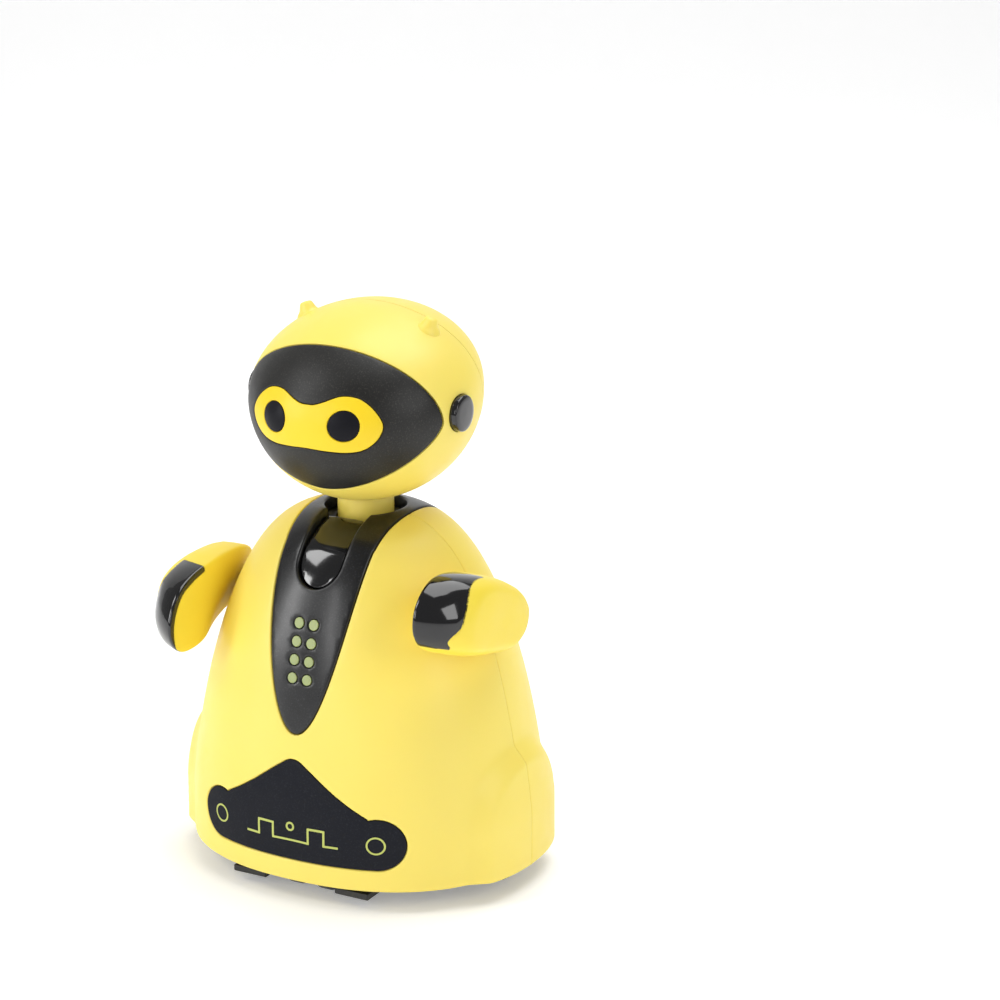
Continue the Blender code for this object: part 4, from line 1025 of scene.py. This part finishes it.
def make_eye(side, label):
    """A lens that bulges a little from the goggles."""
    place = HEAD.from_front([side * EYE_X], [EYE_Z])
    centre = HEAD.solid(place, np.zeros(1))[0]

    def dome(points):
        reach = np.linalg.norm(points - centre, axis=1) / EYE_RADIUS
        return 0.02 - 0.3 * np.clip(1 - reach**2, 0, 1)

    outline = disc_loop(side * EYE_X, EYE_Z, EYE_RADIUS)
    eye = skin_piece("eye_" + label, HEAD, outline, HEAD_FINE, 1.5, 0.15, 0.3, drop=dome)
    dress(eye, EYE, "head", ["eye_lens_" + label])


def make_head():
    seam = HEAD.from_local(seam_ring(HEAD_SEAM - 0.03))
    holes = [mask_loop(0.10)]
    holes += [ear_loop(side, EAR_RADIUS + 0.12) for side in (1, -1)]
    holes.append(neck_loop(NECK_RADIUS + 0.3))
    front = skin_piece("head_front_skin", HEAD, seam, HEAD_GRID, 2.0, 0.12, 0.45, holes)
    dress(front, YELLOW_WITH_PAINTED_SHEEN, "head", ["head_front_shell"])
    make_head_rear()
    for side, label in ((1, "left"), (-1, "right")):
        make_horn(side, label)
        make_ear(side, label)
        make_eye(side, label)
    mask = skin_piece("visor_mask_skin", HEAD, mask_loop(0.0), HEAD_GRID, 1.3, 0.3, 0.4, [goggle_loop(0.10)])
    dress(mask, MASK_BLACK, "head", ["visor_mask"])
    holes = [disc_loop(side * EYE_X, EYE_Z, EYE_RADIUS + 0.08) for side in (-1, 1)]
    goggles = skin_piece("goggle_skin", HEAD, goggle_loop(0.0), HEAD_FINE, 1.2, 0.2, 0.35, holes)
    dress(goggles, DEEP_YELLOW, "head", ["goggle_insert"])


def make_horn(side, label):
    """A stubby nub with a flat top that stands on the head."""
    height = HEAD_RISE * math.sqrt(1 - (HORN_X / HEAD_HALF_WIDTH) ** 2 - (HORN_BACK / HEAD_HALF_DEPTH) ** 2)
    base = head_to_world(np.array([[side * HORN_X, HORN_BACK, height]]))[0]
    profile = rolled([(3.0, -1.4), (2.3, 0.0), (1.75, 0.55), (1.15, 2.15), (0.02, 2.25)], 0.45)
    horn = turned("horn_" + label, "Z", (0, 0), profile, 72)
    turn = Matrix.Translation(Vector(base) * MM) @ Matrix.Rotation(side * math.radians(20), 4, "Y")
    horn.data.transform(turn)
    dress(horn, YELLOW_WITH_PAINTED_SHEEN, "head")


def make_ear(side, label):
    inner = HEAD_HALF_WIDTH - 1.2
    corners = [(EAR_RADIUS, inner), (EAR_RADIUS, inner + 1.7), (2.6, inner + 1.9), (0.02, inner + 2.0)]
    ear = spun("ear_" + label, side, (EAR_Y, EAR_Z), corners, 0.35, 72)
    dress(ear, GLOSS, "head", ["ear_cap_" + label])


def make_neck():
    profile = [(3.4, 66.0), (4.6, 66.0), (4.6, 68.6), (NECK_RADIUS, 68.6), (NECK_RADIUS, 83.0), (3.4, 83.0)]
    neck = turned("neck_skin", "Z", (0, 0), rolled(profile, 0.3), 96, True)
    dress(neck, YELLOW_WITH_PAINTED_SHEEN, "head", ["neck_post"])


# ---------------------------------------------------------------- arms


def body_reach(y, z):
    """Half the body's width at a height and depth, a little grown."""
    v = np.interp(z, BODY.z, BODY.v)
    k = BODY.narrowing(v)
    power = BODY.power(z)
    share = np.clip(np.abs(y) / (BODY_HALF_DEPTH * k + ARM_CLEARANCE), 0, 1) ** power
    width = (BODY_HALF_WIDTH * k + ARM_CLEARANCE) * (1 - share) ** (1 / power)
    return np.where(z < BODY_TOP, width, 0.0)


def inner_side(y, z):
    """How far out the arm's inner side lies, so that it clears the body during its whole swing."""
    back, up = y - SEAM_Y, z - SHOULDER_Z
    reach = np.zeros(len(y))
    for angle in np.radians(np.linspace(*ARM_SWING, 21)):
        c, s = math.cos(angle), math.sin(angle)
        reach = np.maximum(reach, body_reach(back * c - up * s + SEAM_Y, back * s + up * c + SHOULDER_Z))
    return 0.5 * (reach + ARM_INNER_X + np.hypot(reach - ARM_INNER_X, ARM_BLEND))


def between(keys, count):
    """Smoothly spaced values through rows of key values."""
    keys = np.asarray(keys, float)
    t = np.linspace(0, len(keys) - 1, count)
    base = np.floor(t).astype(int).clip(0, len(keys) - 2)
    f = (t - base)[:, None]
    padded = np.vstack([2 * keys[0] - keys[1], keys, 2 * keys[-1] - keys[-2]])
    return catmull_rom(*(padded[base + i] for i in range(4)), f)


def closed_curve(keys, count):
    """A closed curve through the key points, with the same count of points between each two."""
    keys = np.asarray(keys, float)
    around = between(np.vstack([keys[-2:], keys, keys[:3]]), count * (len(keys) + 4) + 1)
    return around[2 * count : 2 * count + count * len(keys)]


def arm_side_view():
    """The level arm's outline seen from the side, back and up from the shoulder's height."""
    keys = [(3.0, 1.2), (1.9, 4.7), (-1.8, 7.1), (-8.5, 8.3), (-15.0, 8.5), (-20.5, 8.1), (-25.2, 6.8)]
    keys += [(-28.4, 4.2), (-30.1, 0.9), (-30.1, -2.0), (-28.8, -4.7), (-26.1, -6.5), (-21.5, -7.2)]
    keys += [(-14.5, -6.9), (-7.0, -6.0), (-1.4, -5.0), (1.9, -2.4)]
    return closed_curve(keys, 8)


def slanted(y, x):
    """The arm's front end is cut at a slant, so its outer side is shorter."""
    forward = np.clip((-8.0 - y) / 20.0, 0, 1)
    across = (x - ARM_INNER_X) / (ARM_OUTER_X - ARM_INNER_X)
    return y + (ARM_SLANT * (x - ARM_INNER_X) - ARM_CROWN * 4 * across * (1 - across)) * forward


def arm_ring(outline, x):
    """A side-view outline laid at a distance across the arm."""
    z = SHOULDER_Z + outline[:, 1]
    inner = inner_side(outline[:, 0], z)
    share = (x - ARM_INNER_X) / (ARM_OUTER_X - ARM_INNER_X)
    return np.column_stack([inner + share * (ARM_OUTER_X - inner), slanted(outline[:, 0], x), z])


def arm_form():
    """The whole left arm, level: a slab with a crisp inner edge and a rounder outer one."""
    outline = arm_side_view()
    along = np.roll(outline, -1, 0) - np.roll(outline, 1, 0)
    normal = np.stack([along[:, 1], -along[:, 0]], -1) / np.hypot(*along.T)[:, None]
    if signed_area(outline) < 0:
        normal = -normal
    middle = outline.mean(0)
    across = [(0.0, 0.55), (0.12, 0.28), (0.35, 0.10), (0.8, 0.0), (3.5, 0.0)]
    across += [(5.5, 0.12), (7.0, 0.55), (8.0, 1.15), (8.7, 1.9)]
    first, last = outline - normal * across[0][1], outline - normal * across[-1][1]
    rings = [arm_ring(middle + (first - middle) * share, ARM_INNER_X) for share in (0.25, 0.5, 0.75, 0.92)]
    rings += [arm_ring(outline - normal * inset, ARM_INNER_X + x) for x, inset in across]
    for share, x in ((0.85, 8.95), (0.6, 9.15), (0.3, 9.25)):
        rings.append(arm_ring(middle + (last - middle) * share, ARM_INNER_X + x))
    return loft("arm_form", rings, smooth_angle=50)


def boolean(target, cutter, operation):
    step = target.modifiers.new("shape", "BOOLEAN")
    step.operation = operation
    step.object = cutter
    step.solver = "EXACT"
    bpy.context.view_layer.update()
    made = bpy.data.meshes.new_from_object(target.evaluated_get(bpy.context.evaluated_depsgraph_get()))
    target.modifiers.clear()
    target.data = made
    return target


def cap_region(margin):
    """The fingertip cap's space: the arm's front and top, lapping a little over the inner side."""
    keys = [(-20.6, 7.0), (-24.7, 5.8), (-27.3, 3.5), (-28.9, 0.6)]
    keys += [(-29.3, -2.5), (-28.7, -4.6), (-27.0, -6.0)]
    far = -60.0
    above = [(-16.8, 30.0), (-16.8, 7.4)]
    below = [(-26.4, -7.0), (-26.4, -20.0), (far, -20.0), (far, 30.0)]
    curve = np.vstack([above, between(keys, 60), below])
    rings = []
    for x in np.linspace(22.0, 40.0, 7):
        y = np.where(curve[:, 0] > far, slanted(curve[:, 0], x) + margin, far)
        rings.append(np.column_stack([np.full(len(curve), x), y, SHOULDER_Z + curve[:, 1] - margin]))
    region = loft("cap_region", rings)
    low, high, inner = -9.0, 13.0, 10.0
    z = np.linspace(low, high, 40)
    outer = CAP_LIMIT_X - np.where(z > 0, 0.026, 0.05) * z**2 - margin
    limit = np.vstack([np.column_stack([outer, z]), [(inner, high), (inner, low)]])
    ends = (-50.0, 10.0)
    rings = [np.column_stack([limit[:, 0], np.full(len(limit), y), SHOULDER_Z + limit[:, 1]]) for y in ends]
    side = loft("cap_region_side", rings)
    boolean(region, side, "INTERSECT")
    bpy.data.objects.remove(side)
    return region


def shoulder_turn(angle):
    """A turn about the shoulder pins that lifts a forward-pointing arm."""
    centre = Vector((0, SEAM_Y, SHOULDER_Z)) * MM
    return Matrix.Translation(centre) @ Matrix.Rotation(-angle, 4, "X") @ Matrix.Translation(-centre)


def soften(piece, width, angle=35):
    """Rounds a piece's sharp edges and keeps its broad faces flat."""
    for edge in piece.data.edges:
        edge.use_edge_sharp = False
    for face in piece.data.polygons:
        face.use_smooth = True
    step = piece.modifiers.new("rounded", "BEVEL")
    step.width = width * MM
    step.segments = 3
    step.limit_method = "ANGLE"
    step.angle_limit = math.radians(angle)
    step.harden_normals = True
    return piece


def make_arms():
    whole = arm_form()
    tip = boolean(link("arm_tip", whole.data.copy()), cap_region(0.0), "INTERSECT")
    arm = boolean(whole, cap_region(0.16), "DIFFERENCE")
    for spent in [o for o in bpy.data.objects if o.name.startswith("cap_region")]:
        bpy.data.objects.remove(spent)
    # The arms get the deeper yellow copy, which is painted shade.
    plans = ((arm, "arm_", ARM_YELLOW_PAINTED_SHADE, "yellow_shell"), (tip, "arm_cap_", GLOSS, "gloss_black"))
    for form, start, look, finish in plans:
        for side, label, raised in ((1, "left", LEFT_ARM_RAISE), (-1, "right", RIGHT_ARM_RAISE)):
            piece = link(start + "skin_" + label, form.data.copy())
            if side < 0:
                piece.data.transform(Matrix.Scale(-1, 4, (1, 0, 0)))
                piece.data.flip_normals()
            piece.data.transform(shoulder_turn(raised))
            soften(piece, ARM_EDGE)
            dress(piece, look, label + "_arm", [start + label])
        bpy.data.objects.remove(form)


# ---------------------------------------------------------------- running gear


def spun(name, side, centre, corners, rounding, sides, closed=False):
    """A rounded profile of (radius, outward) corners turned about a left-right axis."""
    profile = [(radius, side * outward) for radius, outward in rolled(corners, rounding)]
    return turned(name, "X", centre, profile, sides, closed)


def make_wheels():
    inner, outer = WHEEL_INNER_X, WHEEL_INNER_X + WHEEL_WIDTH
    half = [(9.5, 0.1), (9.6, 0.0), (11.4, 0.0), (WHEEL_RADIUS, 0.9)]
    tyre_corners = [(r, inner + x) for r, x in half] + [(r, outer - x) for r, x in half[::-1]]
    dish = ((9.5, 0.2), (8.2, 0.2), (7.6, 1.6), (3.6, 1.6), (3.2, 0.2), (1.8, 0.2))
    hub_corners = [(1.8, inner + 0.1), (9.5, inner + 0.1)] + [(r, outer - x) for r, x in dish]
    axle = (0, WHEEL_RADIUS)
    for side, label in ((1, "left"), (-1, "right")):
        tyre = spun("tyre_skin_" + label, side, axle, tyre_corners, 0.4, 144, True)
        groove_tyre(tyre)
        dress(tyre, RUBBER, label + "_wheel", ["tyre_" + label])
        hub = spun("wheel_hub_skin_" + label, side, axle, hub_corners, 0.25, 96, True)
        dress(hub, SATIN, label + "_wheel", ["wheel_hub_" + label])


def groove_tyre(tyre, count=48):
    """Presses a shallow tread across the tyre."""
    for vertex in tyre.data.vertices:
        y, z = vertex.co.y, vertex.co.z - WHEEL_RADIUS * MM
        radius = math.hypot(y, z)
        if radius > 11.3 * MM:
            angle = math.atan2(z, y)
            depth = TREAD_DEPTH * MM * (0.5 - 0.5 * math.tanh(6 * math.sin(count * angle)))
            vertex.co.y *= 1 - depth / radius
            vertex.co.z = WHEEL_RADIUS * MM + z * (1 - depth / radius)


def make_rollers():
    half = [(1.0, 2.0), (2.6, 2.0), (3.0, 1.3)]
    for side, label in ((1, "left"), (-1, "right")):
        middle = side * ROLLER_X
        corners = [(r, middle - x) for r, x in half] + [(r, middle + x) for r, x in half[::-1]]
        roller = turned("roller_skin_" + label, "X", (ROLLER_Y, ROLLER_Z), rolled(corners, 0.35), 80, True)
        dress(roller, SATIN, label + "_roller", ["front_roller_" + label])


def make_sensor_hoods():
    """The dark line-sensor housings that show below the front edge."""
    front, step, back = -27.3, -24.2, -21.2
    low, shelf, top = 2.0, 3.4, 6.6
    corners = [(front, 2.2), (-27.0, low), (back, low), (back, top)]
    corners += [(step, top), (step, shelf), (front, shelf)]
    profile = np.array(corners)
    for side, label in ((1, "left"), (-1, "right")):
        ends = sorted((side * 8.0, side * 15.5))
        rings = [np.column_stack([np.full(len(profile), x), profile]) for x in ends]
        hood = soften(loft("sensor_hood_" + label, rings), 0.2)
        dress(hood, BASE_BLACK, "body", ["line_sensor_" + label])


def dress_cad():
    """Materials for the CAD nodes that are shown as they are."""
    metal = ("arm_pin", "battery_contact", "drive_motor", "roller_axle", "base_screw", "door_screw")
    black = ("base_plate", "battery_box", "battery_door", "gear_bracket", "neck_clip")
    table = {
        STEEL: metal + ("power_switch_body", "speaker"),
        BOARD: ("main_board", "sensor_board", "button_board", "eye_board"),
        GEAR: ("wheel_gear", "idler_gear", "motor_pinion"),
        CELL: ("battery_cell",),
        BASE_BLACK: black + ("line_sensor", "power_switch_knob", "tact_switch"),
        DOT: ("light_guide",),
    }
    for name, node in frame["nodes"].items():
        for look, starts in table.items():
            if name.startswith(starts):
                node.data.materials.clear()
                node.data.materials.append(look)
    for name in ("base_plate", "battery_door", "gear_bracket_left", "gear_bracket_right", "battery_box"):
        soften(frame["nodes"][name], 0.18, 40)


# ---------------------------------------------------------------- studio


def floor_material():
    look = Look("pale_floor")
    cloud = look.ramp(look.noise(3, 3), 0, 1)
    look.colours(cloud, (0.955, 0.955, 0.955), (0.94, 0.94, 0.94))
    look.wire(look.ramp(cloud, 0.55, 0.65, 0, 1), "Roughness")
    look.set("Emission Color", (1, 1, 1, 1))
    look.set("Emission Strength", 0.24)
    return look.made


def make_floor():
    """A pale sweep: flat below the robot, curving up far behind it."""
    bend = np.linspace(0, math.pi / 2, 20)
    run = np.concatenate([np.linspace(-1.4, 0.8, 23), 0.8 + 0.6 * np.sin(bend)[1:]])
    rise = np.concatenate([np.zeros(23), 0.6 - 0.6 * np.cos(bend)[1:]])
    run, rise = np.append(run, 1.4), np.append(rise, 1.8)
    across = np.linspace(-1.8, 1.8, 25)
    points = [(x / MM, y / MM, z / MM) for y, z in zip(run, rise) for x in across]
    width = len(across)
    faces = []
    for row in range(len(run) - 1):
        for low in range(row * width, row * width + width - 1):
            faces.append((low, low + 1, low + width + 1, low + width))
    floor = make_mesh("studio_floor", points, faces)
    away = Vector((0, 1, 0)).rotation_difference(Vector((-0.515, 0.857, 0)))
    floor.data.transform(away.to_matrix().to_4x4())
    floor.data.materials.append(floor_material())


def area_light(name, place, aim, size, power):
    light = bpy.data.lights.new(name, "AREA")
    light.shape = "RECTANGLE"
    light.size, light.size_y = size
    light.energy = power
    made = bpy.data.objects.new(name, light)
    bpy.context.scene.collection.objects.link(made)
    made.location = Vector(place)
    made.rotation_euler = (Vector(aim) - Vector(place)).to_track_quat("-Z", "Y").to_euler()
    return made


def make_lights():
    world = bpy.data.worlds.new("studio")
    bpy.context.scene.world = world
    world.use_nodes = True
    sky = world.node_tree.nodes["Background"]
    sky.inputs["Color"].default_value = (1, 1, 1, 1)
    sky.inputs["Strength"].default_value = 0.26
    middle = (0, 0, 0.06)
    area_light("left_strip", (-0.74, -0.78, 0.36), middle, (0.20, 0.50), 3.1)
    area_light("front_strip", (-0.26, -1.04, 0.40), middle, (0.10, 0.50), 1.6)
    area_light("upper_softbox", (-0.60, -0.50, 0.82), middle, (0.30, 0.34), 2.2)
    area_light("right_softbox", (0.95, -0.30, 0.50), middle, (0.4, 0.6), 2.8)
    area_light("top_softbox", (0.10, 0.25, 1.0), middle, (0.8, 0.8), 6.6)


def make_camera():
    lens = bpy.data.cameras.new("camera")
    lens.lens = CAMERA_LENS
    lens.sensor_width = 36
    lens.clip_start, lens.clip_end = 0.01, 20
    made = bpy.data.objects.new("camera", lens)
    bpy.context.scene.collection.objects.link(made)
    made.location = CAMERA_PLACE * MM
    made.rotation_euler = (CAMERA_AIM - CAMERA_PLACE).to_track_quat("-Z", "Y").to_euler()
    bpy.context.scene.camera = made


make_shells()
make_panel()
make_button()
make_plate()
make_head()
make_neck()
make_arms()
make_wheels()
make_rollers()
make_sensor_hoods()
dress_cad()
make_floor()
make_lights()
make_camera()
bpy.context.scene.view_settings.view_transform = "Standard"
